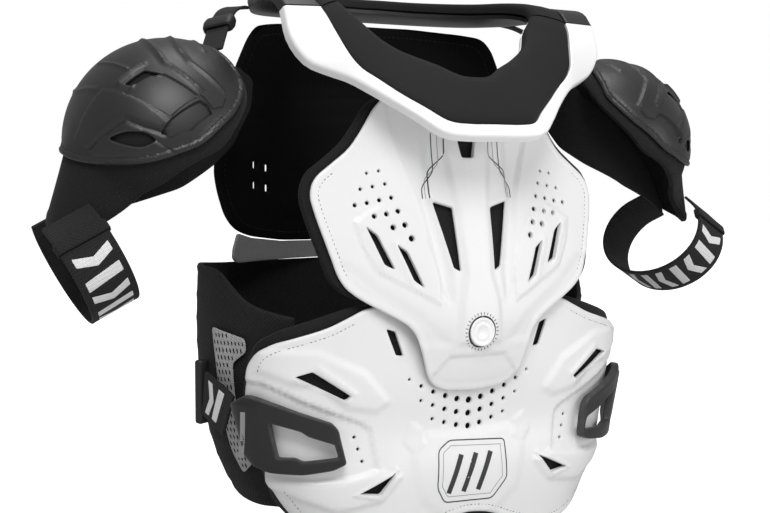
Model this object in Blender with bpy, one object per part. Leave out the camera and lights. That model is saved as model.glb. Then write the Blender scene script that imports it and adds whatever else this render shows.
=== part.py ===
"""Motorcycle armour vest as an assembly of hard plates, pads, webbing and buckles.

All sizes are in millimetres until a point is handed to a mesh, which is in metres.
X runs to the wearer's left, Y to the wearer's back, Z up; the origin is the middle of
the neck opening at the height where the collar rests on the shoulders.
"""
import math

import bmesh
import bpy
import numpy as np
from mathutils import Vector
from mathutils.geometry import delaunay_2d_cdt

MM = 0.001
CLEARANCE = 0.4
MERGE = 0.00001
SHARP_ANGLE = math.radians(38.0)
LEFT = 1
RIGHT = -1
NAMES = {LEFT: "left", RIGHT: "right"}

# Walls
PLATE_WALL = 3.0
FRONT_PAD_WALL = 10.0
SHELL_WALL = 2.6
SHOULDER_PAD_WALL = 7.0
BACK_WALL = 7.0
PANEL_WALL = 3.0
BELT_WALL = 4.0
MESH_WALL = 1.2
WEBBING_WALL = 2.4
ELASTIC_WALL = 2.6
BUCKLE_WALL = 8.0
BUCKLE_GAP = 2.0
SHELL_GAP = 1.3
MESH_GAP = 2.4
COLLAR_SEAT_GAP = 2.3
COLLAR_SIDE_GAP = 0.8
COLLAR_PAD_WALL = 9.0
COLLAR_FRAME_WALL = 3.4
COLLAR_RIM_DEPTH = 13.0

# Borders
EDGE_ROLL = 2.2
EDGE_ROLL_WIDTH = 7.0

# Mesh densities
PLATE_GRID = 15.0
PAD_GRID = 26.0
SHOULDER_GRID = 20.0
BELT_GRID = 30.0
HOLE_SIDES = 6

# Chest plate front over height: z, y on the centre line
CHEST_PROFILE = (
    (-345.0, -123.5),
    (-330.0, -128.0),
    (-310.0, -132.0),
    (-290.0, -135.0),
    (-235.0, -130.5),
    (-205.0, -125.0),
    (-180.0, -119.5),
    (-150.0, -113.0),
    (-125.0, -108.6),
    (-100.0, -107.0),
    (-80.0, -108.2),
    (-66.0, -108.6),
)
CHEST_HALF_WIDTH = 152.5
CHEST_WRAP = 20.5
CHEST_WRAP_POWER = 1.45
CHEST_PAD_GAP = 2.0

# Half outline of the chest plate: x, z
CHEST_OUTLINE = (
    (0.0, -66.0),
    (46.0, -66.0),
    (78.0, -78.0),
    (90.0, -90.0),
    (100.0, -108.0),
    (113.0, -126.0),
    (133.0, -141.0),
    (144.0, -149.0),
    (150.5, -158.0),
    (152.5, -169.0),
    (149.0, -186.0),
    (140.0, -218.0),
    (134.0, -237.0),
    (128.0, -247.0),
    (117.0, -256.0),
    (103.0, -264.0),
    (86.0, -273.0),
    (71.0, -282.0),
    (63.0, -292.0),
    (56.0, -310.0),
    (50.0, -329.0),
    (43.0, -338.0),
    (30.0, -344.0),
    (0.0, -345.5),
)
# Half outline of the pad behind the chest plate: x, z
CHEST_PAD_OUTLINE = (
    (0.0, -72.0),
    (46.0, -73.0),
    (84.0, -80.0),
    (97.0, -90.0),
    (107.0, -106.0),
    (119.0, -121.0),
    (138.0, -135.0),
    (151.0, -144.0),
    (158.0, -156.0),
    (160.0, -169.0),
    (156.0, -188.0),
    (147.0, -219.0),
    (141.0, -239.0),
    (130.0, -251.0),
    (112.0, -258.0),
    (60.0, -259.0),
    (0.0, -259.0),
)
NECK_NOTCH = ((-12.5, -104.0), (-6.0, -134.0), (6.0, -134.0), (12.5, -104.0))
# Cut slots on one side of the chest plate, corner by corner: x, z
CHEST_SLOTS = (
    ((105.5, -194.5), (96.0, -202.0), (82.5, -232.0), (92.0, -227.5)),
    ((78.5, -210.5), (69.5, -217.0), (56.0, -248.5), (65.5, -242.0)),
    ((39.5, -173.5), (20.5, -179.0), (18.5, -235.5), (25.0, -232.0)),
)
# Round holes on one side of the chest plate: x, z, diameter
CHEST_HOLES = (
    (88.0, -145.8, 2.4),
    (99.3, -147.7, 2.4),
    (83.3, -157.2, 2.8),
    (95.1, -159.5, 2.8),
    (106.6, -161.7, 2.8),
    (78.7, -169.3, 3.4),
    (90.2, -171.4, 3.4),
    (101.8, -173.7, 3.4),
    (113.2, -175.6, 3.4),
    (73.9, -181.3, 4.2),
    (85.4, -183.7, 4.2),
    (96.9, -185.6, 4.2),
    (69.2, -193.6, 4.8),
    (80.6, -195.5, 4.8),
    (64.2, -205.4, 5.4),
)

# Belly plate front over height: z, y on the centre line
BELLY_PROFILE = (
    (-520.0, -110.0),
    (-470.0, -114.0),
    (-451.0, -116.0),
    (-420.0, -118.0),
    (-377.0, -114.0),
    (-340.0, -116.5),
    (-290.0, -117.0),
    (-240.0, -117.0),
)
# Half width of the waist over height: z, x
WAIST_WIDTH = (
    (-520.0, 150.0),
    (-455.0, 168.0),
    (-433.0, 181.0),
    (-393.0, 197.0),
    (-340.0, 207.0),
    (-200.0, 208.0),
)
BELLY_WRAP = 100.0
BELLY_PAD_GAP = 1.7
BELLY_CROWD = 0.25
BELLY_WRAP_POWER = 3.4
# Half outline of the belly plate: x, z
BELLY_OUTLINE = (
    (0.0, -263.0),
    (70.0, -263.0),
    (105.0, -265.0),
    (124.0, -274.0),
    (142.0, -282.0),
    (165.0, -288.5),
    (186.0, -294.5),
    (197.0, -302.0),
    (202.0, -314.0),
    (203.0, -340.0),
    (199.0, -368.0),
    (192.0, -395.0),
    (183.0, -418.0),
    (172.0, -438.0),
    (158.0, -456.0),
    (138.0, -472.0),
    (112.0, -481.0),
    (82.0, -482.0),
    (48.0, -472.0),
    (22.0, -461.0),
    (0.0, -458.0),
)
# Half outline of the pad behind the belly plate: x, z
BELLY_PAD_OUTLINE = (
    (0.0, -263.0),
    (70.0, -263.0),
    (112.0, -263.5),
    (136.0, -270.0),
    (160.0, -277.0),
    (184.0, -284.0),
    (199.0, -293.0),
    (204.5, -310.0),
    (205.5, -340.0),
    (201.5, -369.0),
    (194.5, -396.0),
    (186.0, -419.0),
    (176.0, -441.0),
    (162.0, -461.0),
    (141.0, -478.0),
    (112.0, -488.0),
    (82.0, -489.0),
    (46.0, -479.0),
    (22.0, -468.0),
    (0.0, -465.0),
)
# Cut slots on one side of the belly plate, corner by corner: x, z
BELLY_SLOTS = (
    ((87.0, -285.0), (78.5, -287.5), (70.5, -309.5), (77.5, -308.5)),
    ((169.0, -323.0), (155.0, -319.0), (121.0, -342.0), (126.0, -345.5)),
    ((78.0, -413.5), (93.5, -431.5), (113.0, -429.0)),
)
# Round holes on one side of the belly plate: x, z, diameter
BELLY_HOLES = (
    (63.9, -331.2, 2.4),
    (51.5, -338.1, 3.4),
    (38.7, -344.2, 4.2),
    (25.7, -348.9, 4.8),
    (12.9, -352.9, 5.4),
    (51.3, -351.4, 2.8),
    (38.6, -356.7, 3.6),
    (25.8, -361.3, 4.4),
    (12.9, -365.0, 5.0),
    (38.6, -369.2, 3.0),
    (25.8, -373.4, 3.8),
    (12.7, -377.0, 4.6),
    (115.4, -379.6, 2.6),
    (112.3, -390.0, 2.6),
    (109.0, -400.9, 2.6),
)
# Round holes on the centre line of the belly plate: x, z, diameter
BELLY_CENTRE_HOLES = (
    (0.0, -355.0, 6.0),
    (0.0, -367.2, 5.6),
    (0.0, -379.0, 5.2),
)

# Pivot between the chest and the belly plate
PIVOT_HEIGHT = -290.0
PIVOT_CAP_RADIUS = 13.0
PIVOT_CAP_WALL = 2.6
PIVOT_CAP_DISH = 0.9
PIVOT_STEM_RADIUS = 4.8
PIVOT_BORE_GAP = 0.6
PIVOT_SIDES = 24

# Front collar, one half, from the middle to the end of the arm:
# inner edge x y z, edge between pad and frame x y z, rim x y z
COLLAR_FRONT = (
    (0.0, -124.0, -61.0, 0.0, -155.0, -105.0, 0.0, -158.5, -116.0),
    (16.0, -122.0, -59.5, 27.0, -154.5, -105.0, 28.0, -158.5, -116.0),
    (33.0, -113.0, -51.0, 46.0, -151.0, -102.5, 53.0, -157.0, -112.5),
    (49.0, -105.0, -44.5, 62.0, -140.0, -91.5, 71.0, -146.5, -99.5),
    (62.0, -97.0, -38.5, 80.0, -129.0, -79.5, 88.0, -133.0, -86.5),
    (74.0, -91.0, -31.0, 98.0, -118.5, -66.0, 106.0, -120.0, -74.0),
    (81.0, -87.0, -25.0, 110.0, -113.0, -57.5, 122.0, -111.0, -64.5),
    (88.0, -79.0, -16.0, 119.0, -108.0, -46.0, 138.0, -103.0, -58.5),
    (94.0, -71.0, -8.0, 126.0, -97.0, -27.0, 155.0, -95.0, -50.0),
    (100.0, -67.0, -1.5, 130.5, -89.0, -13.0, 167.0, -89.0, -30.0),
    (106.0, -62.0, 5.0, 133.0, -81.0, -3.5, 167.5, -78.0, -4.0),
)
COLLAR_PAD_CROWN = 2.2

# Rear collar, one half, from the arm end to the middle of the nape:
# inner edge x y z, edge between pad and frame x y z, rim x y z
COLLAR_REAR = (
    (106.2, -61.6, 5.9, 133.2, -80.6, -2.6, 167.7, -77.6, -3.1),
    (108.5, -50.0, 14.0, 137.0, -64.0, 9.0, 170.0, -62.0, 10.0),
    (108.0, -30.0, 19.0, 139.0, -38.0, 15.0, 171.0, -36.0, 15.0),
    (104.0, -4.0, 22.0, 135.0, -4.0, 18.0, 163.0, -2.0, 15.0),
    (95.0, 26.0, 24.0, 126.0, 32.0, 19.0, 150.0, 38.0, 14.0),
    (79.0, 54.0, 26.5, 106.0, 68.0, 21.0, 124.0, 80.0, 15.0),
    (52.0, 75.0, 28.5, 70.0, 95.0, 23.0, 84.0, 108.0, 17.0),
    (22.0, 85.0, 30.0, 29.0, 106.0, 24.5, 34.0, 120.0, 18.0),
    (0.0, 87.0, 30.0, 0.0, 108.0, 24.5, 0.0, 122.0, 18.0),
)

# Back plate: y on the centre line at mid height, how far the sides come forward
BACK_DEPTH = 116.0
BACK_WRAP = 58.0
BACK_WRAP_WIDTH = 150.0
BACK_LEAN_START = -60.0
BACK_LEAN = 0.34
# Half outline of the back plate: x, z
BACK_OUTLINE = (
    (0.0, 2.0),
    (60.0, 1.0),
    (108.0, -4.0),
    (128.0, -8.0),
    (138.0, -20.0),
    (147.0, -40.0),
    (160.0, -72.0),
    (173.0, -108.0),
    (181.0, -132.0),
    (183.0, -148.0),
    (178.0, -166.0),
    (166.0, -190.0),
    (150.0, -203.0),
    (128.0, -210.0),
    (83.0, -216.0),
    (0.0, -218.0),
)
# Cut vents on one side of the back plate: x, z of the middle
BACK_VENTS = (
    (124.0, -140.0),
    (106.0, -143.0),
    (124.0, -160.0),
    (106.0, -163.0),
)
BACK_VENT_HALF = 3.6
# Half outline of the panel between the back plate and the belt: x, z
BACK_PANEL_OUTLINE = (
    (0.0, -218.6),
    (84.0, -216.7),
    (128.0, -211.5),
    (149.0, -206.0),
    (156.0, -221.0),
    (157.0, -230.0),
    (150.0, -234.8),
    (0.0, -235.3),
)
BACK_PANEL_INSET = 5.0

# Belt seen from above, one half, from the middle of the back to the front end: x, y
BELT_PLAN = (
    (0.0, 122.0),
    (42.0, 121.0),
    (84.0, 117.5),
    (128.0, 108.0),
    (164.0, 91.0),
    (190.0, 64.0),
    (201.0, 34.0),
    (203.5, 8.0),
    (200.0, -14.0),
    (191.5, -30.0),
    (182.5, -44.0),
    (174.0, -55.0),
    (164.5, -65.0),
    (153.5, -74.0),
)
# Belt edges along its length from the middle of the back: distance, top z, bottom z
BELT_EDGES = (
    (0.0, -236.0, -452.0),
    (150.0, -236.0, -454.0),
    (245.0, -233.0, -455.0),
    (285.0, -238.0, -455.0),
    (315.0, -262.0, -453.0),
    (345.0, -272.0, -450.0),
    (366.0, -276.0, -446.0),
)
BELT_END = 364.0
BELT_STEP = 28.0
# Side panel of open mesh along the belt: distance, z
SIDE_MESH_OUTLINE = (
    (288.0, -284.0),
    (302.0, -290.0),
    (303.0, -318.0),
    (300.0, -400.0),
    (298.0, -424.0),
    (292.0, -424.0),
    (286.0, -400.0),
    (284.0, -318.0),
)

# Waist webbing, one side, from the bar on the belt to the buckle: x, y, z of the middle
WAIST_STRAP_PATH = (
    (213.2, -3.0, -347.0),
    (213.0, -12.0, -349.0),
    (212.0, -26.0, -353.0),
    (210.0, -40.0, -358.0),
    (208.8, -48.0, -361.8),
)
WAIST_STRAP_WIDTH = 42.0
WAIST_BAR_HEIGHT = 60.0
WAIST_BAR_RADIUS = 4.6
WAIST_BAR_PLACE = (213.5, 6.4)
WAIST_BAR_FOOT = 4.6
BAR_SIDES = 8
# Outline of the waist buckle over the belly plate: x, z
BUCKLE_OUTLINE = (
    (203.5, -346.0),
    (199.5, -338.5),
    (194.0, -340.0),
    (165.0, -353.0),
    (137.0, -364.0),
    (132.5, -370.0),
    (126.0, -401.0),
    (137.0, -405.5),
    (160.0, -408.0),
    (181.0, -406.0),
    (188.0, -401.0),
    (194.0, -390.0),
)
BUCKLE_WINDOW = (
    (184.0, -361.0),
    (163.0, -369.0),
    (157.0, -374.0),
    (135.0, -383.5),
    (132.0, -395.0),
    (160.0, -397.0),
    (166.0, -393.5),
    (177.0, -393.5),
)

# Shoulder: a round cap about a point over the arm, which runs out straight on the arm side
SHOULDER_CENTRE = (245.0, -2.0, -121.0)
SHOULDER_POLE = (0.6, -0.15, 0.78)
SHOULDER_ARM = (0.79, 0.01, -0.61)
SHOULDER_RADIUS = 92.0
SHOULDER_LEAVE = 38.0
SHOULDER_LEAVE_SPREAD = 110.0
# Edge of the hard shell: turn in degrees from the arm side to the front, distance from the pole
SHELL_EDGE = (
    (0.0, 96.0),
    (18.0, 101.0),
    (36.0, 108.0),
    (54.0, 117.0),
    (71.0, 124.0),
    (90.0, 130.0),
    (115.0, 130.0),
    (136.0, 125.0),
    (150.0, 112.0),
    (163.0, 101.0),
    (180.0, 94.0),
    (205.0, 97.0),
    (235.0, 108.0),
    (270.0, 114.0),
    (300.0, 108.0),
    (330.0, 100.0),
)
# Edge of the shoulder pad: turn in degrees from the arm side to the front, distance
SHOULDER_PAD_EDGE = (
    (0.0, 160.0),
    (12.0, 163.0),
    (26.0, 152.0),
    (45.0, 143.0),
    (64.0, 141.0),
    (93.0, 145.0),
    (111.0, 142.0),
    (130.0, 137.0),
    (146.0, 130.0),
    (162.0, 118.0),
    (180.0, 108.0),
    (205.0, 110.0),
    (235.0, 120.0),
    (270.0, 128.0),
    (305.0, 126.0),
    (330.0, 134.0),
    (348.0, 152.0),
)
# Vents cut in the shell, corner by corner: u to the arm side, v to the back
SHELL_SLOTS = (
    ((38.0, 12.0), (44.0, 20.0), (20.0, 2.0), (16.0, -4.0)),
    ((78.0, -38.0), (66.0, -58.0), (52.0, -74.0), (66.0, -66.0)),
    ((30.0, -92.0), (22.0, -98.0), (-10.0, -92.0), (-4.0, -86.0)),
)

# Shoulder webbing, one side, from the shoulder pad to the nape: x, y, z
SHOULDER_STRAP_PATH = (
    (201.5, 2.0, -38.5),
    (193.0, 14.0, -26.0),
    (182.0, 29.0, -11.0),
    (168.0, 45.0, 3.0),
    (154.0, 57.0, 9.0),
    (145.8, 63.1, 9.4),
)
SHOULDER_STRAP_WIDTH = 22.0
SLIDER_LENGTH = 16.0
SLIDER_WIDTH = 30.0
SLIDER_PLACE = 2
LOOP_ROOM = 1.5
STRAP_STEP = 14.0
SHOULDER_STRAP_AXIS = (0.5, 0.85, 0.0)

# Arm band, one side: an oval about the arm's axis, open where the shoulder pad closes it
ARM_BAND_CENTRE = (324.0, -8.0, -222.0)
ARM_STRAP_AXIS = (0.87, 0.12, -0.47)
ARM_BAND_REACH = 64.0
ARM_BAND_DROP = 49.0
ARM_BAND_START = 28.5
ARM_BAND_END = 331.0
ARM_BAND_POINTS = 13
ARM_STRAP_WIDTH = 45.0
KEEPER_PLACE = 2
KEEPER_WIDTH = 10.0
KEEPER_WALL = 1.6


def table(rows, value, column=1):
    """Read a column of a short table at a value of its first column."""
    keys = [row[0] for row in rows]
    values = [row[column] for row in rows]
    if keys[0] > keys[-1]:
        keys = keys[::-1]
        values = values[::-1]
    return float(np.interp(value, keys, values))


def unit(vector):
    """Return the vector at length one."""
    vector = np.asarray(vector, dtype=float)
    return vector / max(np.linalg.norm(vector), 1e-9)


def chest_surface(x, z):
    """Front of the chest plate without its edge roll."""
    wrap = CHEST_WRAP * (abs(x) / CHEST_HALF_WIDTH) ** CHEST_WRAP_POWER
    return np.array((x, table(CHEST_PROFILE, z) + wrap, z))


def belly_surface(x, z):
    """Front of the belly plate without its edge roll."""
    share = min(abs(x) / table(WAIST_WIDTH, z), 0.9995)
    power = BELLY_WRAP_POWER
    wrap = BELLY_WRAP * (1.0 - (1.0 - share ** power) ** (1.0 / power))
    return np.array((x, table(BELLY_PROFILE, z) + wrap, z))


def back_surface(x, z):
    """Inner face of the back plate."""
    lean = max(z - BACK_LEAN_START, 0.0) * BACK_LEAN
    wrap = BACK_WRAP * (abs(x) / BACK_WRAP_WIDTH) ** 2
    return np.array((x, BACK_DEPTH - wrap - lean, z))


def curve_points(rows, step):
    """Run a smooth open curve through the rows and give points about a step apart."""
    rows = np.array(rows, dtype=float)
    ends = np.vstack((2 * rows[0] - rows[1], rows, 2 * rows[-1] - rows[-2]))
    points = []
    for index in range(1, len(ends) - 2):
        before, start, end, after = ends[index - 1:index + 3]
        count = max(1, int(round(np.linalg.norm(end - start) / step)))
        for part in range(count):
            t = part / count
            points.append(0.5 * (2 * start + (end - before) * t
                                 + (2 * before - 5 * start + 4 * end - after) * t ** 2
                                 + (3 * start - before - 3 * end + after) * t ** 3))
    points.append(rows[-1])
    return np.array(points)


BELT_CURVE = curve_points(BELT_PLAN, 6.0)
BELT_RUN = np.concatenate(([0.0], np.cumsum(np.linalg.norm(np.diff(BELT_CURVE, axis=0), axis=1))))


def belt_surface(run, z):
    """Outer face of the belt at a signed distance from the middle of the back."""
    narrow = table(WAIST_WIDTH, z) / WAIST_WIDTH[-1][1]
    x = float(np.interp(abs(run), BELT_RUN, BELT_CURVE[:, 0])) * narrow
    y = float(np.interp(abs(run), BELT_RUN, BELT_CURVE[:, 1]))
    return np.array((math.copysign(x, run), y, z))


def shoulder_surface(u, v):
    """Outer face of the shoulder shell, u to the arm side and v to the back."""
    pole = unit(SHOULDER_POLE)
    arm = np.array(SHOULDER_ARM, dtype=float)
    arm = unit(arm - pole * float(arm @ pole))
    back = np.cross(pole, arm)
    distance = math.hypot(u, v)
    turn = math.degrees(math.atan2(abs(v), u))
    share = min(turn / SHOULDER_LEAVE_SPREAD, 1.0)
    share = share * share * (3.0 - 2.0 * share)
    leave = math.radians(SHOULDER_LEAVE + (180.0 - SHOULDER_LEAVE) * share)
    aside = arm if distance < 1e-6 else (arm * u + back * v) / distance
    angle = distance / SHOULDER_RADIUS
    bend = min(angle, leave)
    point = SHOULDER_RADIUS * (math.cos(bend) * pole + math.sin(bend) * aside)
    rest = max(angle - leave, 0.0) * SHOULDER_RADIUS
    point = point + rest * (-math.sin(bend) * pole + math.cos(bend) * aside)
    return np.array(SHOULDER_CENTRE) + point


def surface_normal(surface, u, v):
    """Unit normal of a surface by small steps, positive where u crossed with v points."""
    step = 0.5
    along = surface(u + step, v) - surface(u - step, v)
    across = surface(u, v + step) - surface(u, v - step)
    return unit(np.cross(along, across))


def mirrored(half):
    """Close a half outline that starts and ends on the centre line."""
    other = [(-x, z) for x, z in reversed(half) if abs(x) > 1e-6]
    return list(half) + other


def flipped(polygon):
    """Mirror a polygon to the other side."""
    return [(-x, z) for x, z in reversed(polygon)]


def circle(x, z, diameter, sides=HOLE_SIDES):
    """Corners of a round hole."""
    radius = diameter / 2.0
    turns = [2.0 * math.pi * index / sides for index in range(sides)]
    return [(x + radius * math.cos(turn), z + radius * math.sin(turn)) for turn in turns]


def both_sides(polygons):
    """Give the polygons and their mirror images."""
    return [list(polygon) for polygon in polygons] + [flipped(polygon) for polygon in polygons]


def signed_area(polygon):
    """Area of a polygon, positive when it runs anticlockwise."""
    ring = np.array(polygon)
    after = np.roll(ring, -1, axis=0)
    return 0.5 * float(np.sum(ring[:, 0] * after[:, 1] - after[:, 0] * ring[:, 1]))


def inside(polygon, points):
    """Tell which points lie inside a polygon."""
    ring = np.array(polygon)
    after = np.roll(ring, -1, axis=0)
    x = points[:, 0][:, None]
    y = points[:, 1][:, None]
    crosses = (ring[:, 1] > y) != (after[:, 1] > y)
    height = np.where(np.abs(after[:, 1] - ring[:, 1]) < 1e-9, 1e-9, after[:, 1] - ring[:, 1])
    at = ring[:, 0] + (y - ring[:, 1]) * (after[:, 0] - ring[:, 0]) / height
    return (np.sum(crosses & (x < at), axis=1) % 2) == 1


def edge_distance(polygon, points):
    """Distance from each point to the nearest side of a polygon."""
    ring = np.array(polygon)
    side = np.roll(ring, -1, axis=0) - ring
    length = np.maximum(np.sum(side * side, axis=1), 1e-9)
    reach = points[:, None, :] - ring[None, :, :]
    share = np.clip(np.sum(reach * side[None], axis=2) / length, 0.0, 1.0)
    nearest = ring[None] + share[:, :, None] * side[None]
    return np.min(np.linalg.norm(points[:, None, :] - nearest, axis=2), axis=1)


def flat_triangles(outline, holes, grid, crowd=0.0):
    """Triangulate an outline with holes on an even grid of inner points."""
    rings = [outline] + list(holes)
    low = np.min(np.array(outline), axis=0)
    high = np.max(np.array(outline), axis=0)
    middle = (low[0] + high[0]) / 2.0
    reach = (high[0] - low[0]) / 2.0
    columns = int(math.ceil(reach / grid))
    rows = int(math.ceil((high[1] - low[1]) / grid))
    inner = []
    for row in range(1, rows):
        z = low[1] + (high[1] - low[1]) * row / rows
        for column in range(-columns, columns + 1):
            share = column / columns
            inner.append((middle + reach * share * (1.0 + crowd - crowd * share * share), z))
    inner = np.array(inner)
    keep = inside(outline, inner) & (edge_distance(outline, inner) > 0.45 * grid)
    for hole in holes:
        keep &= ~inside(hole, inner)
        keep &= edge_distance(hole, inner) > 0.3 * grid
    corners = []
    sides = []
    for ring in rings:
        first = len(corners)
        corners.extend(Vector(point) for point in ring)
        sides.extend((first + index, first + (index + 1) % len(ring)) for index in range(len(ring)))
    corners.extend(Vector(point) for point in inner[keep])
    made = delaunay_2d_cdt(corners, sides, [], 0, 1e-5)
    points = np.array([(corner.x, corner.y) for corner in made[0]])
    faces = []
    for face in made[2]:
        centre = np.mean(points[list(face)], axis=0)[None]
        if not inside(outline, centre)[0]:
            continue
        if any(inside(hole, centre)[0] for hole in holes):
            continue
        ring = [int(corner) for corner in face]
        if signed_area(points[ring]) < 0.0:
            ring.reverse()
        faces.append(ring)
    return points, faces


def add_mesh(name, points, faces, material, side=LEFT):
    """Make an object from points in millimetres, mirrored for the right side."""
    points = np.array(points, dtype=float)
    if side == RIGHT:
        points = points * np.array((-1.0, 1.0, 1.0))
    mesh = bpy.data.meshes.new(name)
    mesh.from_pydata([tuple(point * MM) for point in points], [], [tuple(face) for face in faces])
    shape = bmesh.new()
    shape.from_mesh(mesh)
    bmesh.ops.remove_doubles(shape, verts=shape.verts, dist=MERGE)
    bmesh.ops.dissolve_degenerate(shape, edges=shape.edges, dist=MERGE)
    bmesh.ops.triangulate(shape, faces=[face for face in shape.faces if len(face.verts) > 4])
    bmesh.ops.recalc_face_normals(shape, faces=shape.faces)
    if shape.calc_volume(signed=True) < 0.0:
        bmesh.ops.reverse_faces(shape, faces=shape.faces)
    for face in shape.faces:
        face.smooth = True
    for edge in shape.edges:
        edge.smooth = edge.calc_face_angle(0.0) < SHARP_ANGLE
    shape.to_mesh(mesh)
    shape.free()
    mesh.materials.append(material)
    thing = bpy.data.objects.new(name, mesh)
    bpy.context.scene.collection.objects.link(thing)
    return thing


def shaped_sheet(name, outline, holes, surface, material, wall, lift=0.0, grid=PLATE_GRID,
                 roll=0.0, side=LEFT, turned=False, crowd=0.0):
    """Lay a flat outline over a surface as a closed wall.

    The wall starts at the lift over the surface and goes down by its thickness.
    """
    outline = list(outline) if signed_area(outline) > 0.0 else list(reversed(outline))
    points, faces = flat_triangles(outline, holes, grid, crowd)
    distance = edge_distance(outline, points)
    sign = -1.0 if turned else 1.0
    top = []
    low = []
    for (u, v), away in zip(points, distance):
        base = surface(u, v)
        normal = surface_normal(surface, u, v) * sign
        sink = roll * max(1.0 - away / EDGE_ROLL_WIDTH, 0.0) ** 2
        top.append(base + normal * (lift - sink))
        low.append(base + normal * (lift - sink - wall))
    count = len(points)
    used = {}
    for face in faces:
        for start, end in zip(face, face[1:] + face[:1]):
            used[(start, end)] = True
    solid = [list(face) for face in faces]
    solid += [[count + corner for corner in reversed(face)] for face in faces]
    for start, end in used:
        if (end, start) not in used:
            solid.append([end, start, count + start, count + end])
    return add_mesh(name, top + low, solid, material, side)


def loft(name, sections, material, side=LEFT, closed=False):
    """Join equal rings of points into one closed body."""
    count = len(sections[0])
    points = [point for section in sections for point in section]
    faces = []
    pairs = len(sections) if closed else len(sections) - 1
    for index in range(pairs):
        start = index * count
        after = ((index + 1) % len(sections)) * count
        for corner in range(count):
            following = (corner + 1) % count
            faces.append([start + corner, start + following, after + following, after + corner])
    if not closed:
        faces.append(list(reversed(range(count))))
        faces.append(list(range(len(points) - count, len(points))))
    return add_mesh(name, points, faces, material, side)


def strap_frame(points, index, width_axis):
    """Give the middle, the run, the width direction and the normal at one point of a strap."""
    ahead = points[min(index + 1, len(points) - 1)]
    behind = points[max(index - 1, 0)]
    run = unit(ahead - behind)
    axis = unit(width_axis)
    across = unit(axis - run * float(axis @ run))
    return points[index], run, across, np.cross(run, across)


def band(name, path, width_axis, width, wall, material, side=LEFT, lift=0.0):
    """Run a flat strip along a path; its width lies along one direction."""
    points = curve_points(path, STRAP_STEP)
    sections = []
    for index in range(len(points)):
        point, run, across, normal = strap_frame(points, index, width_axis)
        middle = point + normal * lift
        sections.append([
            middle + across * width / 2.0 + normal * wall / 2.0,
            middle - across * width / 2.0 + normal * wall / 2.0,
            middle - across * width / 2.0 - normal * wall / 2.0,
            middle + across * width / 2.0 - normal * wall / 2.0,
        ])
    return loft(name, sections, material, side)


def finish(name, colour, roughness):
    """Make one named material."""
    material = bpy.data.materials.new(name)
    material.use_nodes = True
    shader = material.node_tree.nodes["Principled BSDF"]
    shader.inputs["Base Color"].default_value = (colour[0], colour[1], colour[2], 1.0)
    shader.inputs["Roughness"].default_value = roughness
    material.diffuse_color = (colour[0], colour[1], colour[2], 1.0)
    return material


def collar_run(rows, index):
    """Direction along the collar at one row."""
    ahead = rows[min(index + 1, len(rows) - 1)]
    behind = rows[max(index - 1, 0)]
    return unit((ahead[0:3] + ahead[6:9]) - (behind[0:3] + behind[6:9]))


def collar_sections(rows, first_run=None):
    """Work out pad and frame rings of the collar from inner edge, pad edge and rim."""
    pad = []
    frame = []
    rows = np.array(rows, dtype=float)
    for index, row in enumerate(rows):
        inner = row[0:3]
        edge = row[3:6]
        rim = row[6:9]
        run = collar_run(rows, index)
        if index == 0 and first_run is not None:
            run = first_run
        if abs(row[0]) < 1e-6:
            run = np.array((math.copysign(1.0, run[0]), 0.0, 0.0))
        slope = unit(rim - inner)
        up = unit(np.cross(run, slope))
        if up[2] < 0.0:
            up = -up
        across = unit(edge - inner)
        middle = (inner + edge) / 2.0 + up * COLLAR_PAD_CROWN
        pad_edge = edge - across * COLLAR_SIDE_GAP
        pad.append([
            inner + across * 1.5,
            middle,
            pad_edge - up * 0.6,
            pad_edge - up * COLLAR_PAD_WALL,
            inner - up * COLLAR_PAD_WALL + across * 1.0,
            inner - up * COLLAR_PAD_WALL * 0.5,
        ])
        seat = COLLAR_PAD_WALL + COLLAR_SEAT_GAP
        frame.append([
            edge,
            rim,
            rim - up * COLLAR_RIM_DEPTH * 0.6,
            edge - up * (seat + COLLAR_FRAME_WALL),
            inner - up * (seat + COLLAR_FRAME_WALL) + across * 2.0,
            inner - up * seat + across * 1.0,
            edge - up * seat,
        ])
    return pad, frame


def whole_sections(half):
    """Mirror sections that start on the centre line to make the other half."""
    flip = np.array((-1.0, 1.0, 1.0))
    other = [[point * flip for point in section] for section in half[1:]]
    return list(reversed(other)) + half


def make_chest(white, black):
    """Build the chest plate and its pad."""
    holes = both_sides(CHEST_SLOTS)
    holes += both_sides([circle(*row) for row in CHEST_HOLES])
    holes.append(list(NECK_NOTCH))
    holes.append(circle(0.0, PIVOT_HEIGHT, 2.0 * (PIVOT_STEM_RADIUS + PIVOT_BORE_GAP), PIVOT_SIDES))
    shaped_sheet("chest_plate", mirrored(CHEST_OUTLINE), holes, chest_surface, white,
                 PLATE_WALL, roll=EDGE_ROLL)
    shaped_sheet("chest_pad", mirrored(CHEST_PAD_OUTLINE), [], chest_surface, black,
                 FRONT_PAD_WALL, lift=-(PLATE_WALL + CHEST_PAD_GAP), grid=PAD_GRID, roll=EDGE_ROLL)


def make_belly(white, black):
    """Build the belly plate and its pad."""
    holes = both_sides(BELLY_SLOTS)
    holes += both_sides([circle(*row) for row in BELLY_HOLES])
    holes += [circle(*row) for row in BELLY_CENTRE_HOLES]
    holes.append(circle(0.0, PIVOT_HEIGHT, 2.0 * (PIVOT_STEM_RADIUS + PIVOT_BORE_GAP), PIVOT_SIDES))
    shaped_sheet("belly_plate", mirrored(BELLY_OUTLINE), holes, belly_surface, white,
                 PLATE_WALL, grid=PLATE_GRID, crowd=BELLY_CROWD)
    shaped_sheet("belly_pad", mirrored(BELLY_PAD_OUTLINE), [], belly_surface, black,
                 FRONT_PAD_WALL, lift=-(PLATE_WALL + BELLY_PAD_GAP), grid=PAD_GRID, crowd=BELLY_CROWD)


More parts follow.
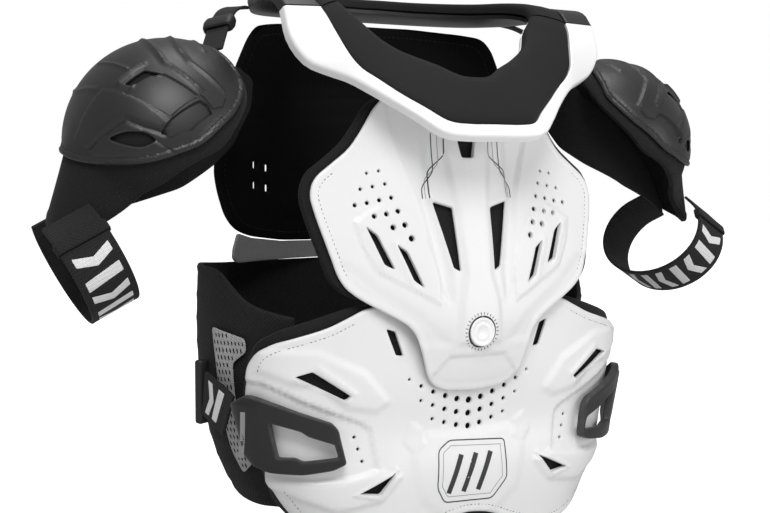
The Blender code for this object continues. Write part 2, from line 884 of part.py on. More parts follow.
def make_pivot(white):
    """Build the round cap with the stem that joins the two plates."""
    front = chest_surface(0.0, PIVOT_HEIGHT)[1]
    rear = belly_surface(0.0, PIVOT_HEIGHT)[1] + PLATE_WALL
    seat = front - CLEARANCE
    rings = (
        (0.3, rear - 0.2),
        (PIVOT_STEM_RADIUS, rear - 0.2),
        (PIVOT_STEM_RADIUS, seat),
        (PIVOT_CAP_RADIUS, seat),
        (PIVOT_CAP_RADIUS, seat - PIVOT_CAP_WALL * 0.6),
        (PIVOT_CAP_RADIUS - 1.2, seat - PIVOT_CAP_WALL),
        (PIVOT_CAP_RADIUS - 4.0, seat - PIVOT_CAP_WALL),
        (PIVOT_CAP_RADIUS - 5.0, seat - PIVOT_CAP_WALL + PIVOT_CAP_DISH),
        (0.3, seat - PIVOT_CAP_WALL + PIVOT_CAP_DISH),
    )
    sections = []
    for radius, depth in rings:
        ring = circle(0.0, PIVOT_HEIGHT, 2.0 * radius, PIVOT_SIDES)
        sections.append([np.array((x, depth, z)) for x, z in ring])
    loft("pivot_cap", sections, white)


def make_collar(white, black, grey):
    """Build the front and the rear half of the collar."""
    front_rows = np.array(COLLAR_FRONT, dtype=float)
    joint_run = collar_run(front_rows, len(front_rows) - 1)
    pad, frame = collar_sections(COLLAR_FRONT)
    loft("collar_front_pad", whole_sections(pad), grey)
    loft("collar_front_frame", whole_sections(frame), white)
    pad, frame = collar_sections(COLLAR_REAR, joint_run)
    pad.reverse()
    frame.reverse()
    loft("collar_rear_pad", whole_sections(pad), black)
    loft("collar_rear_frame", whole_sections(frame), black)


def make_back(black, grey):
    """Build the back plate and the panel below it."""
    vents = []
    for x, z in BACK_VENTS:
        half = BACK_VENT_HALF
        vents.append([(x - half, z - half), (x + half, z - half), (x + half, z + half), (x - half, z + half)])
    shaped_sheet("back_plate", mirrored(BACK_OUTLINE), both_sides(vents), back_surface, black,
                 BACK_WALL, grid=PAD_GRID)
    shaped_sheet("back_panel", mirrored(BACK_PANEL_OUTLINE), [],
                 lambda x, z: back_surface(x, z) - np.array((0.0, BACK_PANEL_INSET - BACK_WALL, 0.0)),
                 grey, PANEL_WALL, grid=PAD_GRID)


def make_belt(black, grey):
    """Build the waist belt and its side panels of open mesh."""
    runs = np.arange(-BELT_END, BELT_END + 1.0, BELT_STEP)
    upper = [(run, table(BELT_EDGES, abs(run), 1)) for run in runs]
    lower = [(run, table(BELT_EDGES, abs(run), 2)) for run in runs]
    outline = lower + upper[::-1]
    shaped_sheet("kidney_belt", outline, [], belt_surface, black, BELT_WALL, grid=BELT_GRID, turned=True)
    for side in (LEFT, RIGHT):
        shaped_sheet("side_mesh_" + NAMES[side], SIDE_MESH_OUTLINE, [], belt_surface, grey,
                     MESH_WALL, lift=MESH_GAP + MESH_WALL, grid=PAD_GRID, side=side, turned=True)


def make_waist(side, black, webbing):
    """Build the webbing, its bar and the buckle on one side of the waist."""
    name = NAMES[side]
    band("waist_strap_" + name, WAIST_STRAP_PATH, (0.0, 0.0, 1.0), WAIST_STRAP_WIDTH,
         WEBBING_WALL, webbing, side)
    x, y = WAIST_BAR_PLACE
    middle = WAIST_STRAP_PATH[0][2]
    half = WAIST_BAR_HEIGHT / 2.0
    rings = ((0.4, -half), (0.8, -half + 1.2), (1.0, -half + 3.0), (1.0, half - 3.0), (0.8, half - 1.2), (0.4, half))
    sections = []
    for share, height in rings:
        ring = circle(0.0, 0.0, 2.0 * WAIST_BAR_RADIUS * share, BAR_SIDES)
        section = []
        for along, across in ring:
            reach = WAIST_BAR_FOOT if along < -1.0 and abs(height) < half - 2.0 else 0.0
            section.append(np.array((x + along - reach, y + across, middle + height)))
        sections.append(section)
    loft("waist_bar_" + name, sections, black, side)
    shaped_sheet("waist_buckle_" + name, BUCKLE_OUTLINE, [list(BUCKLE_WINDOW)], belly_surface, black,
                 BUCKLE_WALL, lift=BUCKLE_WALL + BUCKLE_GAP, grid=PLATE_GRID, side=side)


def polar_outline(rows, spacing):
    """Turn rows of turn and distance into a smooth closed outline."""
    turns = np.array([row[0] for row in rows] + [360.0 + rows[0][0]])
    reach = np.array([row[1] for row in rows] + [rows[0][1]])
    count = int(round(2.0 * math.pi * float(np.mean(reach)) / spacing))
    outline = []
    for index in range(count):
        turn = 360.0 * index / count
        distance = float(np.interp(turn, turns, reach))
        angle = math.radians(turn)
        outline.append((distance * math.cos(angle), -distance * math.sin(angle)))
    return outline


def arm_band_path():
    """Points of the arm band from its front end, under the arm, to its rear end."""
    axis = unit(ARM_STRAP_AXIS)
    forward = unit(np.cross(axis, (0.0, 0.0, 1.0)))
    upward = np.cross(forward, axis)
    path = []
    for turn in np.linspace(ARM_BAND_START, ARM_BAND_END, ARM_BAND_POINTS):
        angle = math.radians(turn)
        path.append(np.array(ARM_BAND_CENTRE) + forward * ARM_BAND_REACH * math.sin(angle)
                    + upward * ARM_BAND_DROP * math.cos(angle))
    return path


def make_shoulder(side, shell, fabric, webbing, black):
    """Build the cap, pad, webbing and arm band of one shoulder."""
    name = NAMES[side]
    shaped_sheet("shoulder_shell_" + name, polar_outline(SHELL_EDGE, 18.0),
                 [list(slot) for slot in SHELL_SLOTS], shoulder_surface, shell, SHELL_WALL,
                 grid=SHOULDER_GRID, side=side)
    shaped_sheet("shoulder_pad_" + name, polar_outline(SHOULDER_PAD_EDGE, 20.0), [],
                 shoulder_surface, fabric, SHOULDER_PAD_WALL, lift=-(SHELL_WALL + SHELL_GAP),
                 grid=PAD_GRID, side=side)
    band("shoulder_strap_" + name, SHOULDER_STRAP_PATH, SHOULDER_STRAP_AXIS, SHOULDER_STRAP_WIDTH,
         WEBBING_WALL, webbing, side)
    band("arm_strap_" + name, arm_band_path(), ARM_STRAP_AXIS, ARM_STRAP_WIDTH, ELASTIC_WALL,
         webbing, side)
    keeper_rings(name, black, side)
    slider_rings(name, black, side)


def loop_section(middle, across, normal, width, height, wall):
    """Outer and inner corners of a flat loop around a strap."""
    outer = []
    inner = []
    for a, b in ((1, 1), (-1, 1), (-1, -1), (1, -1)):
        outer.append(middle + across * a * (width / 2.0 + wall) + normal * b * (height / 2.0 + wall))
        inner.append(middle + across * a * width / 2.0 + normal * b * height / 2.0)
    return outer, inner


def add_loop(name, ends, across, normal, width, height, wall, material, side):
    """Make a flat closed loop of four walls between two end planes."""
    points = []
    for end in ends:
        outer, inner = loop_section(end, across, normal, width, height, wall)
        points += outer + inner
    faces = []
    for corner in range(4):
        following = (corner + 1) % 4
        faces.append([corner, following, 8 + following, 8 + corner])
        faces.append([4 + following, 4 + corner, 12 + corner, 12 + following])
        faces.append([following, corner, 4 + corner, 4 + following])
        faces.append([8 + corner, 8 + following, 12 + following, 12 + corner])
    add_mesh(name, points, faces, material, side)


def keeper_rings(name, material, side):
    """Make the elastic keeper round the arm band."""
    points = curve_points(arm_band_path(), STRAP_STEP)
    middle, run, across, normal = strap_frame(points, KEEPER_PLACE, ARM_STRAP_AXIS)
    ends = (middle - run * KEEPER_WIDTH / 2.0, middle + run * KEEPER_WIDTH / 2.0)
    add_loop("arm_keeper_" + name, ends, across, normal, ARM_STRAP_WIDTH + 2.0 * CLEARANCE,
             ELASTIC_WALL + 2.0 * LOOP_ROOM, KEEPER_WALL, material, side)


def slider_rings(name, material, side):
    """Make the slide buckle round the shoulder webbing."""
    points = curve_points(SHOULDER_STRAP_PATH, STRAP_STEP)
    middle, run, across, normal = strap_frame(points, SLIDER_PLACE, SHOULDER_STRAP_AXIS)
    ends = (middle - run * SLIDER_LENGTH / 2.0, middle + run * SLIDER_LENGTH / 2.0)
    wall = (SLIDER_WIDTH - SHOULDER_STRAP_WIDTH) / 2.0 - CLEARANCE
    add_loop("strap_slider_" + name, ends, across, normal, SHOULDER_STRAP_WIDTH + 2.0 * CLEARANCE,
             WEBBING_WALL + 2.0 * LOOP_ROOM, wall, material, side)


def main():
    """Clear the scene and build every piece."""
    for thing in list(bpy.data.objects):
        bpy.data.objects.remove(thing, do_unlink=True)
    white = finish("white_plastic", (0.86, 0.86, 0.86), 0.32)
    black = finish("black_plastic", (0.02, 0.02, 0.02), 0.4)
    shell = finish("shell_plastic", (0.035, 0.035, 0.035), 0.38)
    fabric = finish("black_fabric", (0.015, 0.015, 0.015), 0.9)
    collar = finish("collar_foam", (0.05, 0.05, 0.05), 0.7)
    grey = finish("grey_mesh", (0.35, 0.35, 0.35), 0.9)
    panel = finish("grey_panel", (0.11, 0.11, 0.11), 0.9)
    webbing = finish("webbing", (0.02, 0.02, 0.02), 0.85)
    make_chest(white, fabric)
    make_belly(white, fabric)
    make_pivot(white)
    make_collar(white, black, collar)
    make_back(fabric, panel)
    make_belt(fabric, grey)
    for side in (LEFT, RIGHT):
        make_waist(side, black, webbing)
        make_shoulder(side, shell, fabric, webbing, black)


main()
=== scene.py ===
"""Looks of a motorcycle armour vest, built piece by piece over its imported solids.

Sizes in the tables are millimetres in the part's frame: X to the wearer's left, Y to the
wearer's back, Z up. Each sub-assembly is a class that builds its meshes and dresses them.
"""

import logging
import math
from dataclasses import dataclass, field
from enum import Enum
from typing import Callable, Optional, Sequence

import bpy
import numpy as np
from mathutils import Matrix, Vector
from mathutils.geometry import delaunay_2d_cdt


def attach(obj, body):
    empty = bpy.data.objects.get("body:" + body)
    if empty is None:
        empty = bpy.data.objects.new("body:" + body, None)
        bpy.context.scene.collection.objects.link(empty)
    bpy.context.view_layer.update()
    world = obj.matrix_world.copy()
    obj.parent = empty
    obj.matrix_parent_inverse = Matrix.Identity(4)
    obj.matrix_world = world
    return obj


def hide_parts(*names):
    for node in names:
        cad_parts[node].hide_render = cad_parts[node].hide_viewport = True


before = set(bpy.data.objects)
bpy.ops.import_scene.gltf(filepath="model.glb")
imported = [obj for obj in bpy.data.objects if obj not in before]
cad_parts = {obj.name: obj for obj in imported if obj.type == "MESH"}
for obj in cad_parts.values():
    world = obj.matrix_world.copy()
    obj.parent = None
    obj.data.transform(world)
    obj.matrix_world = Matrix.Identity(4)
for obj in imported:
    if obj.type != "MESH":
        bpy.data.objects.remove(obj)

LOG = logging.getLogger("vest")
MM = 0.001
SHARP_ANGLE = math.radians(40.0)
NORMAL_STEP = 0.5
TINY = 1e-9
WELD = 1e-5

# Relief: step along its lines, and the cell that holds one point at most
RELIEF_STEP = 1.6
RELIEF_CELL = 1.0
# Sheet sections: widths of a lip and a groove, fall of a rounded edge, rounding and least share of the wall
LIP_WIDTH = 1.6
GROOVE_WIDTH = 0.9
EDGE_FALL = 0.8
UNDER_ROUND = 0.4
UNDER_SHARE = 0.3
THIN_SHARE = 0.25
# Sheet meshes: row spacing, margins kept from edges, and the bands that follow each edge
ROW_SHARE = 0.87
MARGIN_SHARE = 1.2
EDGE_MARGIN = 0.4
HOLE_MARGIN = 0.3
EDGE_BANDS = (0.3, 1.0)
BAND_SHARE = 0.85
# Longest share of a side that a rounded corner may take, and the steps of its curve
CORNER_SHARE = 0.45
CORNER_STEPS = (0.0, 0.25, 0.5, 0.75, 1.0)

# Chest plate front over height: z, y on the centre line
CHEST_PROFILE = (
    (-345, -123.5), (-330, -128), (-310, -132), (-290, -135), (-235, -130.5),
    (-205, -125), (-180, -119.5), (-150, -113), (-125, -108.6), (-100, -107),
    (-80, -108.2), (-66, -108.6),
)
# Half outline of the chest plate: x, z
CHEST_OUTLINE = (
    (0, -66), (46, -66), (78, -78), (90, -90), (100, -108), (113, -126),
    (133, -141), (144, -149), (150.5, -158), (152.5, -169), (149, -186), (140, -218),
    (134, -237), (128, -247), (117, -256), (103, -264), (86, -273), (71, -282),
    (63, -292), (56, -310), (50, -329), (43, -338), (30, -344), (0, -345.5),
)
# Half outline of the pad behind the chest plate: x, z
CHEST_PAD_OUTLINE = (
    (0, -72), (46, -73), (84, -80), (97, -90), (107, -106), (119, -121),
    (138, -135), (151, -144), (158, -156), (160, -169), (156, -188), (147, -219),
    (141, -239), (130, -251), (112, -258), (60, -259), (0, -259),
)
NECK_NOTCH = ((-12.5, -104), (-6, -134), (6, -134), (12.5, -104))
# Cut slots on one side of the chest plate, corner by corner: x, z
CHEST_SLOTS = (
    ((105.5, -194.5), (96, -202), (82.5, -232), (92, -227.5)),
    ((78.5, -210.5), (69.5, -217), (56, -248.5), (65.5, -242)),
    ((39.5, -173.5), (20.5, -179), (18.5, -235.5), (25, -232)),
)
# Round holes on one side of the chest plate: x, z, diameter
CHEST_HOLES = (
    (88, -145.8, 2.4), (99.3, -147.7, 2.4), (83.3, -157.2, 2.8), (95.1, -159.5, 2.8),
    (106.6, -161.7, 2.8), (78.7, -169.3, 3.4), (90.2, -171.4, 3.4), (101.8, -173.7, 3.4),
    (113.2, -175.6, 3.4), (73.9, -181.3, 4.2), (85.4, -183.7, 4.2), (96.9, -185.6, 4.2),
    (69.2, -193.6, 4.8), (80.6, -195.5, 4.8), (64.2, -205.4, 5.4),
)
# Belly plate front over height: z, y on the centre line
BELLY_PROFILE = (
    (-520, -110), (-470, -114), (-451, -116), (-420, -118), (-377, -114),
    (-340, -116.5), (-290, -117), (-240, -117),
)
# Half width of the waist over height: z, x
WAIST_WIDTH = (
    (-520, 150), (-455, 168), (-433, 181), (-393, 197), (-340, 207), (-200, 208),
)
# Half outline of the belly plate: x, z
BELLY_OUTLINE = (
    (0, -263), (70, -263), (105, -265), (124, -274), (142, -282), (165, -288.5),
    (186, -294.5), (197, -302), (202, -314), (203, -340), (199, -368), (192, -395),
    (183, -418), (172, -438), (158, -456), (138, -472), (112, -481), (82, -482),
    (48, -472), (22, -461), (0, -458),
)
# Half outline of the pad behind the belly plate: x, z
BELLY_PAD_OUTLINE = (
    (0, -263), (70, -263), (112, -263.5), (136, -270), (160, -277), (184, -284),
    (199, -293), (204.5, -310), (205.5, -340), (201.5, -369), (194.5, -396), (186, -419),
    (176, -441), (162, -461), (141, -478), (112, -488), (82, -489), (46, -479),
    (22, -468), (0, -465),
)
# Cut slots on one side of the belly plate, corner by corner: x, z
BELLY_SLOTS = (
    ((87, -285), (78.5, -287.5), (70.5, -309.5), (77.5, -308.5)),
    ((169, -323), (155, -319), (121, -342), (126, -345.5)),
    ((78, -413.5), (93.5, -431.5), (113, -429)),
)
# Round holes on one side of the belly plate: x, z, diameter
BELLY_HOLES = (
    (63.9, -331.2, 2.4), (51.5, -338.1, 3.4), (38.7, -344.2, 4.2), (25.7, -348.9, 4.8),
    (12.9, -352.9, 5.4), (51.3, -351.4, 2.8), (38.6, -356.7, 3.6), (25.8, -361.3, 4.4),
    (12.9, -365, 5), (38.6, -369.2, 3), (25.8, -373.4, 3.8), (12.7, -377, 4.6),
    (115.4, -379.6, 2.6), (112.3, -390, 2.6), (109, -400.9, 2.6),
)
# Round holes on the centre line of the belly plate: x, z, diameter
BELLY_CENTRE_HOLES = (
    (0, -355, 6), (0, -367.2, 5.6), (0, -379, 5.2),
)
# Front collar, one half, from the middle to the end of the arm:
# inner edge x y z, edge between pad and frame x y z, rim x y z
COLLAR_FRONT = (
    (0, -124, -61, 0, -155, -105, 0, -158.5, -116),
    (16, -122, -59.5, 27, -154.5, -105, 28, -158.5, -116),
    (33, -113, -51, 46, -151, -102.5, 53, -157, -112.5),
    (49, -105, -44.5, 62, -140, -91.5, 71, -146.5, -99.5),
    (62, -97, -38.5, 80, -129, -79.5, 88, -133, -86.5),
    (74, -91, -31, 98, -118.5, -66, 106, -120, -74),
    (81, -87, -25, 110, -113, -57.5, 122, -111, -64.5),
    (88, -79, -16, 119, -108, -46, 138, -103, -58.5),
    (94, -71, -8, 126, -97, -27, 155, -95, -50),
    (100, -67, -1.5, 130.5, -89, -13, 167, -89, -30),
    (106, -62, 5, 133, -81, -3.5, 167.5, -78, -4),
)
# Rear collar, one half, from the arm end to the middle of the nape:
# inner edge x y z, edge between pad and frame x y z, rim x y z
COLLAR_REAR = (
    (106.2, -61.6, 5.9, 133.2, -80.6, -2.6, 167.7, -77.6, -3.1),
    (108.5, -50, 14, 137, -64, 9, 170, -62, 10),
    (108, -30, 19, 139, -38, 15, 171, -36, 15),
    (104, -4, 22, 135, -4, 18, 163, -2, 15),
    (95, 26, 24, 126, 32, 19, 150, 38, 14),
    (79, 54, 26.5, 106, 68, 21, 124, 80, 15),
    (52, 75, 28.5, 70, 95, 23, 84, 108, 17),
    (22, 85, 30, 29, 106, 24.5, 34, 120, 18),
    (0, 87, 30, 0, 108, 24.5, 0, 122, 18),
)
# Half outline of the back plate: x, z
BACK_OUTLINE = (
    (0, 2), (60, 1), (108, -4), (128, -8), (138, -20), (147, -40), (160, -72),
    (173, -108), (181, -132), (183, -148), (178, -166), (166, -190), (150, -203),
    (128, -210), (83, -216), (0, -218),
)
# Cut vents on one side of the back plate: x, z of the middle
BACK_VENTS = (
    (124, -140), (106, -143), (124, -160), (106, -163),
)
# Half outline of the panel between the back plate and the belt: x, z
BACK_PANEL_OUTLINE = (
    (0, -218.6), (84, -216.7), (128, -211.5), (149, -206), (156, -221), (157, -230),
    (150, -234.8), (0, -235.3),
)
# Belt seen from above, one half, from the middle of the back to the front end: x, y
BELT_PLAN = (
    (0, 122), (42, 121), (84, 117.5), (128, 108), (164, 91), (190, 64),
    (201, 34), (203.5, 8), (200, -14), (191.5, -30), (182.5, -44), (174, -55),
    (164.5, -65), (153.5, -74),
)
# Belt edges along its length from the middle of the back: distance, top z, bottom z
BELT_EDGES = (
    (0, -236, -452), (150, -236, -454), (245, -233, -455), (285, -238, -455),
    (315, -262, -453), (345, -272, -450), (366, -276, -446),
)
# Side panel of open mesh along the belt: distance, z
SIDE_MESH_OUTLINE = (
    (280, -286), (317, -295), (318, -307), (309, -313), (303, -318), (300, -396),
    (308, -403), (305, -410), (291, -420), (286, -400), (284, -318),
)
# Waist webbing, one side, from the bar on the belt to the buckle: x, y, z of the middle
WAIST_STRAP_PATH = (
    (213.2, -3, -347), (213, -12, -349), (212, -26, -353), (210, -40, -358),
    (208.8, -48, -361.8),
)
# Outline of the waist buckle over the belly plate: x, z
BUCKLE_OUTLINE = (
    (203.5, -346), (199.5, -338.5), (194, -340), (165, -353), (137, -364), (132.5, -370),
    (126, -401), (137, -405.5), (160, -408), (181, -406), (188, -401), (194, -390),
)
BUCKLE_WINDOW = (
    (184, -361), (163, -369), (157, -374), (135, -383.5), (132, -395), (160, -397),
    (166, -393.5), (177, -393.5),
)
# Edge of the hard shell: turn in degrees from the arm side to the front, distance from the pole
SHELL_EDGE = (
    (0, 96), (18, 101), (36, 108), (54, 117), (71, 124), (90, 130),
    (115, 130), (136, 125), (150, 112), (163, 101), (180, 94), (205, 97),
    (235, 108), (270, 114), (300, 108), (330, 100),
)
# Edge of the shoulder pad: turn in degrees from the arm side to the front, distance
SHOULDER_PAD_EDGE = (
    (0, 160), (12, 163), (26, 152), (45, 143), (64, 141), (93, 145),
    (111, 142), (130, 137), (146, 130), (162, 118), (180, 108), (205, 110),
    (235, 120), (270, 128), (305, 126), (330, 134), (348, 152),
)
# Shoulder webbing, one side, from the shoulder pad to the nape: x, y, z
SHOULDER_STRAP_PATH = (
    (201.5, 2, -38.5), (193, 14, -26), (182, 29, -11), (168, 45, 3),
    (154, 57, 9), (145.8, 63.1, 9.4),
)
# Arm band, one side: an oval about the arm's axis, open where the shoulder pad closes it
ARM_BAND_CENTRE = (324, -8, -222)
ARM_STRAP_AXIS = (0.87, 0.12, -0.47)
ARM_BAND_REACH = 64
ARM_BAND_DROP = 49
ARM_BAND_START = 28.5
ARM_BAND_END = 331
ARM_BAND_POINTS = 13
# Cloth between the chest and one shoulder: x, z
YOKE_OUTLINE = (
    (160, -62), (180, -50), (200, -62), (250, -110), (300, -150), (332, -186),
    (334, -194), (310, -182), (283, -173), (247, -161), (208, -140), (184, -122),
    (163, -89),
)


class Side(Enum):
    """Side of the wearer; its value is the sign of X."""

    LEFT = 1
    RIGHT = -1

    @property
    def label(self) -> str:
        """Plain lower case name of the side."""
        return self.name.lower()


def smooth_rows(rows: Sequence[Sequence[float]], values: np.ndarray, column: int = 1) -> np.ndarray:
    """Read a smooth curve through the rows of a table.

    Args:
        rows: rows whose first column is the key.
        values: keys to read at; keys beyond the ends give the end rows.
        column: the column to read.
    Returns:
        one number for each key.
    """
    data = np.array(sorted(rows), dtype=float)
    keys = data[:, 0]
    given = data[:, column]
    slope = np.gradient(given, keys)
    at = np.clip(np.asarray(values, dtype=float), keys[0], keys[-1])
    index = np.clip(np.searchsorted(keys, at) - 1, 0, len(keys) - 2)
    width = keys[index + 1] - keys[index]
    t = (at - keys[index]) / width
    start = (1.0 + 2.0 * t) * (1.0 - t) ** 2 * given[index] + t * (1.0 - t) ** 2 * width * slope[index]
    end = t * t * (3.0 - 2.0 * t) * given[index + 1] - t * t * (1.0 - t) * width * slope[index + 1]
    return start + end


def unit_rows(vectors: np.ndarray) -> np.ndarray:
    """Return the vectors at length one."""
    vectors = np.asarray(vectors, dtype=float)
    return vectors / np.maximum(np.linalg.norm(vectors, axis=-1, keepdims=True), TINY)


def spline(rows: Sequence[Sequence[float]], step: float, closed: bool = False) -> np.ndarray:
    """Run a smooth curve through the rows and give points about a step apart.

    Args:
        rows: points that the curve passes.
        step: distance between the points that are given.
        closed: whether the curve ends where it starts.
    Returns:
        the points of the curve.
    """
    rows = np.array(rows, dtype=float)
    if closed:
        ends = np.vstack((rows[-1:], rows, rows[:2]))
    else:
        ends = np.vstack((2 * rows[:1] - rows[1:2], rows, 2 * rows[-1:] - rows[-2:-1]))
    points = []
    for index in range(1, len(ends) - 2):
        before, start, end, after = ends[index - 1:index + 3]
        count = max(1, int(round(np.linalg.norm(end - start) / step)))
        for t in np.arange(count) / count:
            points.append(0.5 * (2 * start + (end - before) * t
                                 + (2 * before - 5 * start + 4 * end - after) * t ** 2
                                 + (3 * start - before - 3 * end + after) * t ** 3))
    if not closed:
        points.append(rows[-1])
    return np.array(points)


def straight(rows: Sequence[Sequence[float]], step: float, closed: bool = True) -> np.ndarray:
    """Divide the straight sides of a ring or line into pieces about a step long.

    Args:
        rows: corners of the ring or line.
        step: length of one piece.
        closed: whether the last corner joins the first.
    Returns:
        the corners with the points between them.
    """
    rows = np.array(rows, dtype=float)
    after = np.roll(rows, -1, axis=0) if closed else rows[1:]
    points = []
    for start, end in zip(rows, after):
        count = max(1, int(round(np.linalg.norm(end - start) / step)))
        points.extend(start + (end - start) * part / count for part in range(count))
    if not closed:
        points.append(rows[-1])
    return np.array(points)


def rounded(rows: Sequence[Sequence[float]], radius: float, step: float, closed: bool = True) -> np.ndarray:
    """Round each corner of a ring or line with a short curve, then divide it evenly.

    Args:
        rows: corners of the ring or line.
        radius: how far from its corner each curve starts.
        step: distance between the points that are given.
        closed: whether the last corner joins the first.
    Returns:
        the points of the rounded ring or line.
    """
    rows = np.array(rows, dtype=float)
    corners = []
    for index, corner in enumerate(rows):
        if not closed and index in (0, len(rows) - 1):
            corners.append(corner)
            continue
        before = rows[index - 1] - corner
        after = rows[(index + 1) % len(rows)] - corner
        reach = min(radius, CORNER_SHARE * np.linalg.norm(before), CORNER_SHARE * np.linalg.norm(after))
        first = corner + unit_rows(before) * reach
        last = corner + unit_rows(after) * reach
        for t in CORNER_STEPS:
            corners.append(first * (1 - t) ** 2 + corner * 2 * t * (1 - t) + last * t * t)
    return straight(corners, step, closed)


def mirrored(half: Sequence[Sequence[float]]) -> np.ndarray:
    """Close a half outline that starts and ends on the centre line."""
    other = [(-x, z) for x, z in reversed(half) if abs(x) > 1e-6]
    return np.array(list(half) + other, dtype=float)


def circle(x: float, z: float, diameter: float, sides: int = 12) -> np.ndarray:
    """Points of a circle."""
    turn = np.linspace(0.0, 2.0 * math.pi, sides, endpoint=False)
    return np.stack((x + np.cos(turn) * diameter / 2.0, z + np.sin(turn) * diameter / 2.0), axis=1)


def signed_area(ring: np.ndarray) -> float:
    """Area of a ring, positive when it runs counterclockwise."""
    after = np.roll(ring, -1, axis=0)
    return 0.5 * float(np.sum(ring[:, 0] * after[:, 1] - after[:, 0] * ring[:, 1]))


def inside(ring: np.ndarray, points: np.ndarray) -> np.ndarray:
    """Tell which points lie inside a ring."""
    x, y = points[:, 0][:, None], points[:, 1][:, None]
    after = np.roll(ring, -1, axis=0)
    crosses = (ring[:, 1] > y) != (after[:, 1] > y)
    rise = after[:, 1] - ring[:, 1]
    rise = np.where(np.abs(rise) < 1e-12, 1e-12, rise)
    limit = ring[:, 0] + (y - ring[:, 1]) * (after[:, 0] - ring[:, 0]) / rise
    return np.sum(crosses & (x < limit), axis=1) % 2 == 1


def line_distance(line: np.ndarray, points: np.ndarray, closed: bool = True) -> np.ndarray:
    """Distance from each point to the nearest part of a ring or line.

    Args:
        line: corners of the ring or line.
        points: points to measure from.
        closed: whether the last corner joins the first.
    Returns:
        one distance for each point.
    """
    start = line if closed else line[:-1]
    side = (np.roll(line, -1, axis=0) if closed else line[1:]) - start
    length = np.maximum(np.sum(side * side, axis=1), TINY)
    result = np.empty(len(points))
    block = 2000
    for first in range(0, len(points), block):
        part = points[first:first + block]
        reach = part[:, None, :] - start[None]
        share = np.clip(np.sum(reach * side[None], axis=2) / length, 0.0, 1.0)
        away = np.linalg.norm(reach - share[:, :, None] * side[None], axis=2)
        result[first:first + block] = np.min(away, axis=1)
    return result


def run_length(points: np.ndarray) -> np.ndarray:
    """Give the length run up to each point of a line."""
    return np.concatenate(([0.0], np.cumsum(np.linalg.norm(np.diff(points, axis=0), axis=1))))


def ease(value: np.ndarray) -> np.ndarray:
    """Turn a share from 0 to 1 into one with soft ends."""
    value = np.clip(value, 0.0, 1.0)
    return value * value * (3.0 - 2.0 * value)


class Surface:
    """A skin given by two flat coordinates; its normal points out of the vest."""

    turn: float = 1.0

    def place(self, flat: np.ndarray) -> np.ndarray:
        """Give the point on the skin for each pair of flat coordinates."""
        raise NotImplementedError

    def normal(self, flat: np.ndarray) -> np.ndarray:
        """Give the unit normal for each pair of flat coordinates."""
        flat = np.asarray(flat, dtype=float)
        du = self.place(flat + (NORMAL_STEP, 0.0)) - self.place(flat - (NORMAL_STEP, 0.0))
        dv = self.place(flat + (0.0, NORMAL_STEP)) - self.place(flat - (0.0, NORMAL_STEP))
        return unit_rows(np.cross(du, dv)) * self.turn


@dataclass(frozen=True)
class PlateSurface(Surface):
    """Front skin whose depth follows a profile over height and wraps back at the sides."""

    profile: tuple
    half_width: Optional[float] = None
    widths: Optional[tuple] = None
    wrap: float = 20.5
    power: float = 1.45

    def place(self, flat: np.ndarray) -> np.ndarray:
        """Give the point on the skin for each x and z."""
        flat = np.asarray(flat, dtype=float)
        x, z = flat[:, 0], flat[:, 1]
        depth = smooth_rows(self.profile, z)
        if self.widths is None:
            back = self.wrap * (np.abs(x) / self.half_width) ** self.power
        else:
            share = np.minimum(np.abs(x) / smooth_rows(self.widths, z), 0.9995)
            back = self.wrap * (1.0 - (1.0 - share ** self.power) ** (1.0 / self.power))
        return np.stack((x, depth + back, z), axis=1)


@dataclass(frozen=True)
class BackSurface(Surface):
    """Inner skin of the back plate."""

    depth: float = 116.0
    wrap: float = 58.0
    wrap_width: float = 150.0
    lean_start: float = -60.0
    lean: float = 0.34

    def place(self, flat: np.ndarray) -> np.ndarray:
        """Give the point on the skin for each x and z."""
        flat = np.asarray(flat, dtype=float)
        x, z = flat[:, 0], flat[:, 1]
        lean = np.maximum(z - self.lean_start, 0.0) * self.lean
        return np.stack((x, self.depth - self.wrap * (np.abs(x) / self.wrap_width) ** 2 - lean, z), axis=1)


@dataclass(frozen=True)
class BeltSurface(Surface):
    """Outer skin of the belt, by the signed distance from the middle of the back and the height."""

    plan: tuple
    widths: tuple
    turn: float = -1.0

    def place(self, flat: np.ndarray) -> np.ndarray:
        """Give the point on the skin for each distance and height."""
        flat = np.asarray(flat, dtype=float)
        curve = spline(self.plan, 3.0)
        run = run_length(curve)
        along, z = flat[:, 0], flat[:, 1]
        narrow = smooth_rows(self.widths, z) / self.widths[-1][1]
        x = np.interp(np.abs(along), run, curve[:, 0]) * narrow
        y = np.interp(np.abs(along), run, curve[:, 1])
        return np.stack((np.copysign(x, along), y, z), axis=1)


